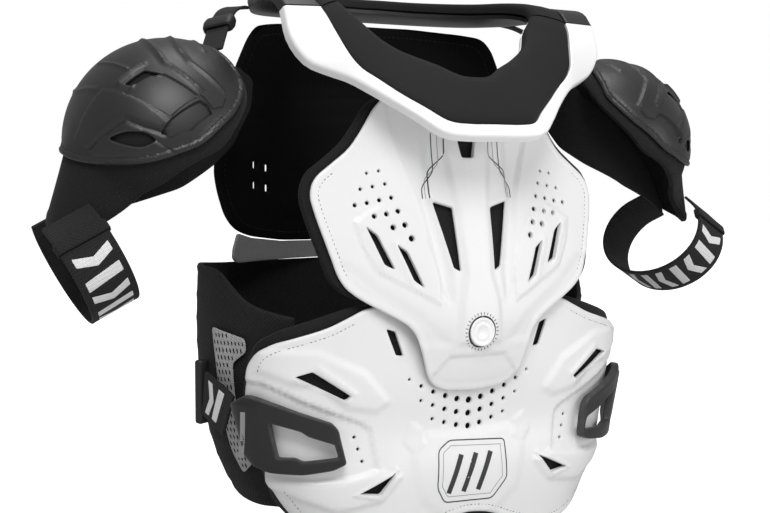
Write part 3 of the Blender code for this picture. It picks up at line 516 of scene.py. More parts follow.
@dataclass(frozen=True)
class ShoulderSurface(Surface):
    """Round cap about a point over the arm, which runs out straight on the arm side."""

    centre: tuple = (245.0, -2.0, -121.0)
    pole: tuple = (0.6, -0.15, 0.78)
    arm: tuple = (0.79, 0.01, -0.61)
    radius: float = 92.0
    leave: float = 38.0
    leave_spread: float = 110.0

    def axes(self) -> tuple:
        """Give the pole, the arm and the back direction."""
        pole = unit_rows(np.array(self.pole))
        arm = np.array(self.arm)
        arm = unit_rows(arm - pole * float(arm @ pole))
        return pole, arm, np.cross(pole, arm)

    def place(self, flat: np.ndarray) -> np.ndarray:
        """Give the point on the skin, u to the arm side and v to the back."""
        flat = np.asarray(flat, dtype=float)
        pole, arm, back = self.axes()
        u, v = flat[:, 0], flat[:, 1]
        distance = np.maximum(np.hypot(u, v), 1e-6)
        turn = np.degrees(np.arctan2(np.abs(v), u))
        share = ease(turn / self.leave_spread)
        leave = np.radians(self.leave + (180.0 - self.leave) * share)
        aside = (u[:, None] * arm + v[:, None] * back) / distance[:, None]
        angle = distance / self.radius
        bend = np.minimum(angle, leave)
        rest = np.maximum(angle - leave, 0.0) * self.radius
        sine, cosine = np.sin(bend)[:, None], np.cos(bend)[:, None]
        point = self.radius * (cosine * pole + sine * aside)
        return np.array(self.centre) + point + rest[:, None] * (cosine * aside - sine * pole)


def mirror_lines(lines: Sequence[np.ndarray], both_sides: bool) -> list:
    """Add the mirror image of each line where the relief is on both sides."""
    return list(lines) + ([line * (-1.0, 1.0) for line in lines] if both_sides else [])


@dataclass(frozen=True)
class Panel:
    """A raised or sunk field of a skin, with a slope of its own width at its edge."""

    ring: tuple
    height: float
    slope: float = 4.0
    both: bool = True

    def edges(self) -> list:
        """Give the two lines that the slope runs between."""
        ring = straight(self.ring, RELIEF_STEP)
        along = unit_rows(np.roll(ring, -1, axis=0) - np.roll(ring, 1, axis=0))
        across = np.stack((-along[:, 1], along[:, 0]), axis=1) * self.slope / 2.0
        return mirror_lines([ring + across, ring - across], self.both)

    def rise(self, flat: np.ndarray) -> np.ndarray:
        """Give the height that the field adds at each flat point."""
        probe = flat.copy()
        if self.both:
            probe[:, 0] = np.abs(probe[:, 0])
        ring = np.array(self.ring, dtype=float)
        away = line_distance(ring, probe) * np.where(inside(ring, probe), 1.0, -1.0)
        return self.height * ease(away / self.slope + 0.5)


@dataclass(frozen=True)
class Ridge:
    """A raised rib or a sunk crease along a line."""

    line: tuple
    height: float
    width: float = 3.0
    both: bool = True

    def edges(self) -> list:
        """Give the line and the foot on both its sides."""
        line = straight(self.line, RELIEF_STEP, closed=False)
        along = unit_rows(np.gradient(line, axis=0))
        across = np.stack((-along[:, 1], along[:, 0]), axis=1) * self.width
        return mirror_lines([line, line + across, line - across], self.both)

    def rise(self, flat: np.ndarray) -> np.ndarray:
        """Give the height that the line adds at each flat point."""
        probe = flat.copy()
        if self.both:
            probe[:, 0] = np.abs(probe[:, 0])
        away = line_distance(np.array(self.line, dtype=float), probe, closed=False)
        return self.height * np.exp(-(away / self.width) ** 2)


# Relief of the chest plate: ring or line of x and z, height, slope or width
CHEST_RELIEF = (
    Panel(((-1, -60), (30, -60), (26, -110), (17, -178), (14, -238),
           (20, -262), (22, -300), (-1, -300)), 2, 6),
    Panel(((98, -234), (41, -264), (40, -240), (50, -206), (64, -188),
           (90, -176), (116, -190), (110, -212)), 1.5, 2.6),
    Panel(((46, -60), (82, -76), (70, -120), (52, -170), (38, -250),
           (30, -262), (28, -235), (42, -172), (44, -120)), -2.6, 6),
    Panel(((-1, -312), (30, -312), (46, -330), (60, -352), (-1, -352)),
          -1.6, 3),
    Panel(((96, -250), (60, -272), (30, -300), (60, -300), (100, -270),
           (134, -252), (142, -226), (124, -226)), -1.2, 10),
    Ridge(((22, -176), (41, -170)), 1.3, 3.5),
    Ridge(((108, -193), (93, -228)), 0.9, 3.2),
    Ridge(((81, -209), (67, -242)), 0.9, 3.2),
)
# Relief of the belly plate, as for the chest plate
BELLY_RELIEF = (
    Panel(((212, -326), (192, -330), (164, -345), (139, -356), (111, -367),
           (101, -374), (96, -409), (118, -414), (150, -416), (196, -412)), -2.6, 4),
    Panel(((196, -416), (172, -428), (132, -445), (91, -438), (72, -417),
           (94, -411), (120, -416), (150, -418)), 2.2, 5),
    Panel(((74, -411), (96, -436), (119, -430), (78, -408)), 0.9, 1.4),
    Panel(((196, -300), (150, -302), (108, -322), (84, -350), (96, -358),
           (125, -352), (150, -330), (170, -330), (196, -318)), 2, 8),
    Panel(((62, -370), (50, -377), (47, -391), (60, -398), (69, -388)), 0.9, 3),
    Panel(((-1, -386), (44, -382), (60, -402), (52, -440), (26, -462), (-1, -464)),
          1.4, 10),
    Ridge(((80, -288), (72, -308)), 0.9, 3),
    Ridge(((168, -325), (124, -345)), 1, 3.4),
    Ridge(((150, -316), (118, -340)), 1.2, 2.4),
)
# Relief of the shoulder cap: u to the arm side and v to the back
CAP_RELIEF = (
    Panel(((17, -51), (-1, -51), (-13, -63), (-24, -95), (13, -95), (19, -72),
           (25, -50)), -1.8, 1.8, both=False),
    Panel(((32, -27), (26, -48), (20, -72), (18, -98), (30, -96), (37, -81),
           (41, -64), (59, -52), (83, -36), (80, -14)), 1, 2, both=False),
    Panel(((17, -97), (-22, -99), (-26, -106), (-24, -113), (8, -115), (29, -106),
           (31, -98)), -3, 1.6, both=False),
    Panel(((-26, -95), (-33, -94), (-40, -99), (-50, -104), (-40, -111),
           (-28, -110)),
          2, 1.6, both=False),
    Ridge(((84, -36), (60, -54), (43, -65), (39, -82), (30, -100)), -1.6, 2.2,
          both=False),
    Ridge(((43, -84), (38, -117)), -1, 1.4, both=False),
    Ridge(((20, -38), (-7, -41)), 2.6, 2, both=False),
    Ridge(((-36, 12), (-32, -8), (-26, -36), (-22, -52), (-30, -90)), 1.8, 2.4,
          both=False),
    Ridge(((-64, 16), (-58, 0), (-44, -42), (-41, -60), (-52, -96)), 1.8, 2.4,
          both=False),
    Ridge(((-80, 0), (-68, -44)), 1.2, 2, both=False),
    Ridge(((10, 10), (7, -14), (5, -34)), 1.2, 1.2, both=False),
    Ridge(((-54, 24), (-48, 60), (-40, 84)), 1.6, 3, both=False),
    Ridge(((34, -20), (40, 14), (34, 52)), 1.2, 2, both=False),
)
# Relief of the back plate and of the waist buckle, as for the chest plate
BACK_RELIEF = (
    Ridge(((-1, -70), (90, -76), (118, -96)), -0.8, 2),
    Panel(((-1, -92), (84, -98), (96, -128), (84, -190), (-1, -196)), 1.2, 6),
)
BUCKLE_RELIEF = (
    Panel(((204, -345), (190, -345), (186, -402), (200, -402)), 1.2, 2, both=False),
    Ridge(((184, -361), (163, -369), (157, -374), (135, -383.5)), 0.8, 3, both=False),
)


@dataclass
class Sheet:
    """A shaped wall laid over a skin, with relief on its outer face."""

    outline: np.ndarray
    surface: Surface
    wall: float
    lift: float = 0.0
    holes: list = field(default_factory=list)
    spacing: float = 3.2
    edge_round: float = 1.4
    relief: tuple = ()
    crown: float = 0.0
    crown_width: float = 14.0
    lip: float = 0.0
    lip_place: float = 3.0
    groove_place: float = 0.0
    groove: float = 0.5

    def __post_init__(self) -> None:
        """Turn the outline counterclockwise."""
        if signed_area(self.outline) < 0.0:
            self.outline = self.outline[::-1]

    def near(self, flat: np.ndarray) -> np.ndarray:
        """Give the distance from the nearest edge at each flat point."""
        return np.min([line_distance(ring, flat) for ring in (self.outline, *self.holes)], axis=0)

    def clear(self, points: np.ndarray, edge_gap: float, hole_gap: float) -> np.ndarray:
        """Tell which flat points lie in the sheet and clear of its edges.

        Args:
            points: flat points.
            edge_gap: least distance from the outline.
            hole_gap: least distance from each hole.
        Returns:
            yes or no for each point.
        """
        good = inside(self.outline, points) & (line_distance(self.outline, points) > edge_gap)
        for hole in self.holes:
            good &= ~inside(hole, points) & (line_distance(hole, points) > hole_gap)
        return good

    def height(self, flat: np.ndarray) -> np.ndarray:
        """Give the height of the outer face over the skin at each flat point."""
        flat = np.asarray(flat, dtype=float)
        away = line_distance(self.outline, flat)
        height = np.full(len(flat), self.lift)
        height += self.crown * (1.0 - np.exp(-away / self.crown_width))
        height += self.lip * np.exp(-((away - self.lip_place) / LIP_WIDTH) ** 2)
        if self.groove_place:
            height -= self.groove * np.exp(-((away - self.groove_place) / GROOVE_WIDTH) ** 2)
        for shape in self.relief:
            height += shape.rise(flat)
        share = np.clip(1.0 - self.near(flat) / self.edge_round, 0.0, 1.0)
        return height - self.edge_round * (1.0 - np.sqrt(1.0 - share * share)) * EDGE_FALL

    def on(self, flat: np.ndarray, lift: float = 0.0) -> np.ndarray:
        """Give points over the outer face."""
        flat = np.asarray(flat, dtype=float)
        return self.surface.place(flat) + self.surface.normal(flat) * (self.height(flat) + lift)[:, None]

    def relief_points(self) -> np.ndarray:
        """Give points along the edges of the relief, at most one in each small cell."""
        lines = [line for shape in self.relief for line in shape.edges()]
        if not lines:
            return np.empty((0, 2))
        points = np.concatenate(lines)
        _, first = np.unique(np.round(points / RELIEF_CELL), axis=0, return_index=True)
        points = points[np.sort(first)]
        gap = self.edge_round * MARGIN_SHARE + EDGE_MARGIN
        return points[self.clear(points, gap, gap)]

    def inner_points(self) -> list:
        """Give staggered points inside the sheet and the points along its relief."""
        low, high = self.outline.min(axis=0), self.outline.max(axis=0)
        rows = []
        for count, z in enumerate(np.arange(low[1], high[1], self.spacing * ROW_SHARE)):
            start = low[0] + (count % 2) * self.spacing * 0.5
            xs = np.arange(start, high[0], self.spacing)
            rows.append(np.stack((xs, np.full(len(xs), z)), axis=1))
        inner = np.concatenate(rows)
        gap = self.edge_round * MARGIN_SHARE
        inner = inner[self.clear(inner, gap + EDGE_MARGIN, gap + HOLE_MARGIN)]
        crisp = self.relief_points()
        if len(crisp):
            nearest = np.array([np.min(np.hypot(*(crisp - point).T)) for point in inner])
            inner = inner[nearest > RELIEF_CELL]
        return [inner, crisp]

    def flat_mesh(self) -> tuple:
        """Triangulate the outline with its holes, finer towards every edge.

        Returns:
            the flat points, and the corners of each triangle.
        """
        rings = [self.outline] + [ring if signed_area(ring) < 0 else ring[::-1] for ring in self.holes]
        extra = self.inner_points()
        for ring in rings:
            along = unit_rows(np.roll(ring, -1, axis=0) - np.roll(ring, 1, axis=0))
            inward = np.stack((-along[:, 1], along[:, 0]), axis=1)
            for share in EDGE_BANDS:
                band = ring + inward * self.edge_round * share
                gap = self.edge_round * share * BAND_SHARE
                extra.append(band[self.clear(band, gap, gap)])
        corners = []
        sides = []
        for ring in rings:
            first, count = len(corners), len(ring)
            corners.extend(Vector(point) for point in ring)
            sides.extend((first + index, first + (index + 1) % count) for index in range(count))
        for group in extra:
            corners.extend(Vector(point) for point in group)
        made = delaunay_2d_cdt(corners, sides, [], 0, WELD)
        points = np.array([(corner.x, corner.y) for corner in made[0]])
        faces = np.array([face if signed_area(points[list(face)]) > 0 else face[::-1] for face in made[2]])
        centre = points[faces].mean(axis=1)
        good = inside(self.outline, centre)
        for hole in self.holes:
            good &= ~inside(hole, centre)
        return points, faces[good]

    def build(self, name: str, material: bpy.types.Material, side: Side = Side.LEFT) -> bpy.types.Object:
        """Make the closed wall as an object.

        Args:
            name: name of the piece.
            material: its material.
            side: the side to build on.
        Returns:
            the new object.
        """
        flat, faces = self.flat_mesh()
        normal = self.surface.normal(flat)
        base = self.surface.place(flat)
        height = self.height(flat)
        near = self.near(flat)
        share = np.clip(1.0 - near / self.edge_round, 0.0, 1.0)
        rounding = min(self.edge_round * UNDER_ROUND, self.wall * UNDER_SHARE)
        under = self.lift - self.wall + rounding * (1.0 - np.sqrt(1.0 - share ** 2))
        under = np.minimum(under, height - THIN_SHARE * self.wall)
        top = base + normal * height[:, None]
        low = base + normal * under[:, None]
        count = len(flat)
        edges = np.concatenate([faces[:, [0, 1]], faces[:, [1, 2]], faces[:, [2, 0]]])
        code = edges[:, 0] * count + edges[:, 1]
        back = edges[:, 1] * count + edges[:, 0]
        rim = edges[~np.isin(code, back)]
        solid = [tuple(face) for face in faces]
        solid += [tuple(count + face[::-1]) for face in faces]
        solid += [(end, start, count + start, count + end) for start, end in rim]
        if self.surface.turn < 0:
            solid = [face[::-1] for face in solid]
        return make_mesh(name, np.concatenate((top, low)), solid, material,
                         np.concatenate((flat, flat)), np.concatenate((near, near)), side)


def make_mesh(name: str, points: np.ndarray, faces: Sequence[Sequence[int]], material: bpy.types.Material,
              flat: Optional[np.ndarray] = None, near: Optional[np.ndarray] = None,
              side: Side = Side.LEFT, sharp: float = SHARP_ANGLE) -> bpy.types.Object:
    """Make one shaded object.

    Args:
        name: name of the piece.
        points: points in millimetres on the wearer's left side.
        faces: corners of each face, counterclockwise from outside.
        material: the piece's material.
        flat: flat coordinates of each point in millimetres, kept as its UV map in metres.
        near: distance of each point from the nearest edge, kept as the attribute edge_mm.
        side: the side to build on; the right one is the mirror image.
        sharp: angle above which an edge stays sharp.
    Returns:
        the new object, at the origin.
    """
    points = np.asarray(points, dtype=float).copy()
    faces = [tuple(int(corner) for corner in face) for face in faces]
    if side is Side.RIGHT:
        points[:, 0] *= -1.0
        faces = [face[::-1] for face in faces]
    mesh = bpy.data.meshes.new(name)
    mesh.from_pydata([tuple(point) for point in points * MM], [], faces)
    mesh.polygons.foreach_set("use_smooth", np.ones(len(mesh.polygons), dtype=bool))
    mesh.set_sharp_from_angle(angle=sharp)
    corners = np.empty(len(mesh.loops), dtype=np.int32)
    mesh.loops.foreach_get("vertex_index", corners)
    if flat is None:
        flat = points[:, [0, 2]]
    layer = mesh.uv_layers.new(name="flat")
    layer.data.foreach_set("uv", (np.asarray(flat, dtype=float)[corners] * MM).ravel())
    if near is not None:
        edge = mesh.attributes.new("edge_mm", "FLOAT", "POINT")
        edge.data.foreach_set("value", np.asarray(near, dtype=float))
    mesh.materials.append(material)
    mesh.update()
    thing = bpy.data.objects.new(name, mesh)
    bpy.context.scene.collection.objects.link(thing)
    return thing


def loft(name: str, sections: np.ndarray, material: bpy.types.Material, side: Side = Side.LEFT,
         closed: bool = False, sharp: float = SHARP_ANGLE) -> bpy.types.Object:
    """Join equal rings of points into one closed body, with the run and the girth as UV map."""
    sections = np.asarray(sections, dtype=float)
    runs, count = sections.shape[:2]
    along = run_length(sections.mean(axis=1))
    girth = run_length(sections[0])
    flat = np.stack(np.broadcast_arrays(along[:, None], girth[None, :]), axis=2).reshape(-1, 2)
    faces = []
    for index in range(runs if closed else runs - 1):
        start, after = index * count, ((index + 1) % runs) * count
        for corner in range(count):
            following = (corner + 1) % count
            faces.append((start + corner, start + following, after + following, after + corner))
    if not closed:
        faces.append(tuple(reversed(range(count))))
        faces.append(tuple(range((runs - 1) * count, runs * count)))
    points = sections.reshape(-1, 3)
    corners = np.array([face[:3] for face in faces])
    volume = np.sum(points[corners[:, 0]] * np.cross(points[corners[:, 1]], points[corners[:, 2]]))
    if volume < 0.0:
        faces = [face[::-1] for face in faces]
    return make_mesh(name, points, faces, material, flat, None, side, sharp)


def join(name: str, parts: Sequence[bpy.types.Object]) -> bpy.types.Object:
    """Join objects into one with the given name."""
    with bpy.context.temp_override(active_object=parts[0], selected_editable_objects=list(parts)):
        bpy.ops.object.join()
    parts[0].name = name
    parts[0].data.name = name
    return parts[0]


class Tree:
    """A short way to add and link nodes in one node tree."""

    def __init__(self, tree: bpy.types.NodeTree) -> None:
        """Keep the tree whose nodes are made."""
        self.tree = tree

    def add(self, kind: str, inputs: Optional[dict] = None, **settings: object) -> bpy.types.Node:
        """Add a node.

        Args:
            kind: the node's type.
            inputs: value or output socket for each input, by name or number.
            settings: properties of the node.
        Returns:
            the new node.
        """
        node = self.tree.nodes.new(kind)
        for key, value in settings.items():
            setattr(node, key, value)
        for key, value in (inputs or {}).items():
            if isinstance(value, bpy.types.NodeSocket):
                self.link(value, node.inputs[key])
            else:
                node.inputs[key].default_value = value
        return node

    def link(self, start: bpy.types.NodeSocket, end: bpy.types.NodeSocket) -> None:
        """Link two sockets."""
        self.tree.links.new(start, end)

    def math(self, operation: str, first: object, second: object = 0.0) -> bpy.types.NodeSocket:
        """Add a math node and give its output."""
        return self.add("ShaderNodeMath", {0: first, 1: second}, operation=operation).outputs[0]

    def mix(self, factor: object, first: object, second: object) -> bpy.types.NodeSocket:
        """Add a colour mix and give its output."""
        node = self.add("ShaderNodeMix", data_type="RGBA")
        for index, value in ((0, factor), (6, first), (7, second)):
            if isinstance(value, bpy.types.NodeSocket):
                self.link(value, node.inputs[index])
            else:
                node.inputs[index].default_value = value
        return node.outputs[2]


def new_group(name: str, kind: str, inputs: Sequence[tuple], outputs: Sequence[tuple]) -> Tree:
    """Make a node group with named inputs and outputs.

    Args:
        name: name of the group.
        kind: type of the node tree.
        inputs: name, socket type and default of each input.
        outputs: name and socket type of each output.
    Returns:
        the group's tree, with its group input and output nodes.
    """
    group = bpy.data.node_groups.new(name, kind)
    for label, socket, default in inputs:
        made = group.interface.new_socket(label, in_out="INPUT", socket_type=socket)
        if default is not None:
            made.default_value = default
    for label, socket in outputs:
        group.interface.new_socket(label, in_out="OUTPUT", socket_type=socket)
    tree = Tree(group)
    tree.start = tree.add("NodeGroupInput")
    tree.end = tree.add("NodeGroupOutput")
    return tree


class ShaderGroups:
    """Node groups that several materials share."""

    def __init__(self) -> None:
        """Build each group once."""
        self.weave = self.make_weave()
        self.grain = self.make_grain()
        self.wear = self.make_wear()

    @staticmethod
    def make_weave() -> bpy.types.NodeTree:
        """Crossing threads: a height and a tone that follow the piece's own map."""
        tree = new_group("Woven Threads", "ShaderNodeTree",
                         (("Map", "NodeSocketVector", None),
                          ("Threads per metre", "NodeSocketFloat", 900.0),
                          ("Slant", "NodeSocketFloat", 0.0)),
                         (("Height", "NodeSocketFloat"), ("Tone", "NodeSocketFloat")))
        split = tree.add("ShaderNodeSeparateXYZ", {0: tree.start.outputs["Map"]})
        slant = tree.math("MULTIPLY", split.outputs[1], tree.start.outputs["Slant"])
        along = tree.math("ADD", split.outputs[0], slant)
        scale = tree.math("MULTIPLY", tree.start.outputs["Threads per metre"], math.pi)
        warp = tree.math("SINE", tree.math("MULTIPLY", along, scale))
        weft = tree.math("SINE", tree.math("MULTIPLY", split.outputs[1], scale))
        height = tree.math("MULTIPLY", warp, weft)
        fuzz = tree.add("ShaderNodeTexNoise",
                        {"Vector": tree.start.outputs["Map"], "Scale": 420.0, "Detail": 3.0})
        tone = tree.math("ADD", tree.math("MULTIPLY", height, 0.25), fuzz.outputs["Fac"])
        tree.link(height, tree.end.inputs["Height"])
        tree.link(tone, tree.end.inputs["Tone"])
        return tree.tree

    @staticmethod
    def make_grain() -> bpy.types.NodeTree:
        """Moulded skin: fine grain, broad flow marks and small scratches in the part's space."""
        tree = new_group("Moulded Grain", "ShaderNodeTree",
                         (("Place", "NodeSocketVector", None), ("Size", "NodeSocketFloat", 1400.0)),
                         (("Height", "NodeSocketFloat"), ("Tone", "NodeSocketFloat"),
                          ("Scratch", "NodeSocketFloat")))
        place = tree.start.outputs["Place"]
        fine = tree.add("ShaderNodeTexNoise",
                        {"Vector": place, "Scale": tree.start.outputs["Size"], "Detail": 2.0})
        broad = tree.add("ShaderNodeTexNoise", {"Vector": place, "Scale": 14.0, "Detail": 2.0})
        stretch = tree.add("ShaderNodeVectorMath", {0: place, 1: (30.0, 260.0, 90.0)}, operation="MULTIPLY")
        lines = tree.add("ShaderNodeTexNoise", {"Vector": stretch.outputs[0], "Scale": 1.0, "Detail": 3.0})
        scratch = tree.add("ShaderNodeMapRange",
                           {"Value": lines.outputs["Fac"], "From Min": 0.68, "From Max": 0.74})
        tree.link(fine.outputs["Fac"], tree.end.inputs["Height"])
        tree.link(broad.outputs["Fac"], tree.end.inputs["Tone"])
        tree.link(scratch.outputs["Result"], tree.end.inputs["Scratch"])
        return tree.tree

    @staticmethod
    def make_wear() -> bpy.types.NodeTree:
        """Rubbed edges: a mask near the edge of a sheet, broken up by noise."""
        tree = new_group("Rubbed Edge", "ShaderNodeTree",
                         (("Place", "NodeSocketVector", None), ("Edge", "NodeSocketFloat", 5.0),
                          ("Reach", "NodeSocketFloat", 1.6)),
                         (("Mask", "NodeSocketFloat"),))
        spots = tree.add("ShaderNodeTexNoise",
                         {"Vector": tree.start.outputs["Place"], "Scale": 120.0, "Detail": 3.0})
        near = tree.math("SUBTRACT", 1.0,
                         tree.math("DIVIDE", tree.start.outputs["Edge"], tree.start.outputs["Reach"]))
        near = tree.math("MAXIMUM", near, 0.0)
        mask = tree.math("MULTIPLY", near, spots.outputs["Fac"])
        tree.link(mask, tree.end.inputs["Mask"])
        return tree.tree


@dataclass(frozen=True)
class Plastic:
    """A moulded plastic."""

    name: str
    colour: tuple
    deep: tuple
    rubbed: tuple
    roughness: float = 0.32
    coat: float = 0.0
    grain: float = 1400.0
    grain_depth: float = 0.03
    edged: bool = True

    def material(self, groups: ShaderGroups) -> bpy.types.Material:
        """Make the material from the shared groups."""
        material = bpy.data.materials.new(self.name)
        material.use_nodes = True
        tree = Tree(material.node_tree)
        shader = material.node_tree.nodes["Principled BSDF"]
        place = tree.add("ShaderNodeTexCoord").outputs["Object"]
        grain = tree.add("ShaderNodeGroup", node_tree=groups.grain)
        tree.link(place, grain.inputs["Place"])
        grain.inputs["Size"].default_value = self.grain
        colour = tree.mix(grain.outputs["Tone"], (*self.deep, 1.0), (*self.colour, 1.0))
        if self.edged:
            wear = tree.add("ShaderNodeGroup", node_tree=groups.wear)
            edge = tree.add("ShaderNodeAttribute", attribute_name="edge_mm")
            tree.link(place, wear.inputs["Place"])
            tree.link(edge.outputs["Fac"], wear.inputs["Edge"])
            colour = tree.mix(wear.outputs["Mask"], colour, (*self.rubbed, 1.0))
        tree.link(colour, shader.inputs["Base Color"])
        rough = tree.math("ADD", self.roughness, tree.math("MULTIPLY", grain.outputs["Scratch"], 0.12))
        rough = tree.math("ADD", rough, tree.math("MULTIPLY", grain.outputs["Tone"], 0.08))
        tree.link(rough, shader.inputs["Roughness"])
        shader.inputs["Coat Weight"].default_value = self.coat
        shader.inputs["Coat Roughness"].default_value = 0.2
        bump = tree.add("ShaderNodeBump",
                        {"Height": grain.outputs["Height"], "Strength": self.grain_depth * 10.0,
                                           "Distance": 0.0002})
        tree.link(bump.outputs["Normal"], shader.inputs["Normal"])
        return material


@dataclass(frozen=True)
class Fabric:
    """A woven, knitted or skinned cloth."""

    name: str
    colour: tuple
    worn: tuple
    threads: float = 900.0
    slant: float = 0.0
    depth: float = 0.5
    roughness: float = 0.85
    sheen: float = 0.04
    specular: float = 0.2

    def material(self, groups: ShaderGroups) -> bpy.types.Material:
        """Make the material from the shared groups."""
        material = bpy.data.materials.new(self.name)
        material.use_nodes = True
        tree = Tree(material.node_tree)
        shader = material.node_tree.nodes["Principled BSDF"]
        flat = tree.add("ShaderNodeUVMap", uv_map="flat").outputs["UV"]
        weave = tree.add("ShaderNodeGroup", node_tree=groups.weave)
        tree.link(flat, weave.inputs["Map"])
        weave.inputs["Threads per metre"].default_value = self.threads
        weave.inputs["Slant"].default_value = self.slant
        colour = tree.mix(weave.outputs["Tone"], (*self.colour, 1.0), (*self.worn, 1.0))
        tree.link(colour, shader.inputs["Base Color"])
        rough = tree.math("ADD", self.roughness - 0.05, tree.math("MULTIPLY", weave.outputs["Tone"], 0.1))
        tree.link(rough, shader.inputs["Roughness"])
        shader.inputs["Specular IOR Level"].default_value = self.specular
        shader.inputs["Sheen Weight"].default_value = self.sheen
        shader.inputs["Sheen Roughness"].default_value = 0.5
        bump = tree.add("ShaderNodeBump", {"Height": weave.outputs["Height"], "Strength": self.depth,
                                           "Distance": 0.0003})
        tree.link(bump.outputs["Normal"], shader.inputs["Normal"])
        return material


def grey(value: float) -> tuple:
    """Give an even grey."""
    return value, value, value


class Finishes:
    """All materials of the vest."""

    def __init__(self, groups: ShaderGroups) -> None:
        """Make each material once."""
        glossy = {"roughness": 0.30, "coat": 0.25, "grain": 1600.0, "grain_depth": 0.012}
        satin = {"grain": 900.0, "grain_depth": 0.05}
        fitting = {"grain": 1100.0, "grain_depth": 0.05}
        inked = {"roughness": 0.45, "grain": 1400.0, "grain_depth": 0.01, "edged": False}
        plastics = {
            "white": Plastic("white plate", grey(0.88), grey(0.84), (0.66, 0.66, 0.65), **glossy),
            "rail": Plastic("white rail", grey(0.97), grey(0.94), grey(0.6), edged=False, **glossy),
            "shell": Plastic("satin black shell", (0.022, 0.022, 0.023), grey(0.014), grey(0.07), 0.37,
                             **satin),
            "shell_rail": Plastic("satin black rail", (0.020, 0.020, 0.021), grey(0.012), grey(0.07), 0.38,
                                  edged=False, **satin),
            "black": Plastic("black fitting", grey(0.016), grey(0.010), grey(0.06), 0.45, edged=False,
                             **fitting),
            "buckle": Plastic("black buckle", grey(0.014), grey(0.009), grey(0.08), 0.40, **fitting),
        }
        fabrics = {
            "liner": Fabric("black liner", grey(0.008), grey(0.018), 700.0),
            "back": Fabric("back cover", grey(0.006), grey(0.011), 800.0, 0.0, 0.3, 0.9, 0.0, 0.05),
            "foam": Fabric("collar foam", grey(0.010), grey(0.015), 1500.0, 0.0, 0.15, 0.75, 0.02),
            "elastic": Fabric("belt elastic", grey(0.010), grey(0.022), 500.0, 0.0, 0.8),
            "webbing": Fabric("webbing", grey(0.009), grey(0.024), 640.0, 1.0, 1.0, 0.7),
            # The stretch panel is a real grey cloth, painted lighter than its own grey to make up for the
            # shade it sits in.
            "panel": Fabric("grey stretch panel", grey(0.28), grey(0.38), 600.0, 1.0, 0.6),
            "mesh": Fabric("grey spacer mesh", grey(0.34), grey(0.44), 420.0, 1.0, 0.9),
            "print": Fabric("light print", grey(0.70), grey(0.84), 640.0, 1.0, 0.6, 0.6),
        }
        inks = {
            "ink": Plastic("dark ink", grey(0.03), grey(0.02), grey(0.1), **inked),
            # The grey ink serves real prints and also the painted highlight strip on each waist clasp.
            "pale_ink": Plastic("grey ink and painted highlight", grey(0.36), grey(0.30), grey(0.4), **inked),
            "thread": Fabric("dark thread", grey(0.05), grey(0.12), 2500.0, 1.0, 0.6),
            "black_thread": Fabric("black thread", grey(0.02), grey(0.05), 2500.0, 1.0, 0.6),
        }
        for label, finish in {**plastics, **fabrics, **inks}.items():
            setattr(self, label, finish.material(groups))


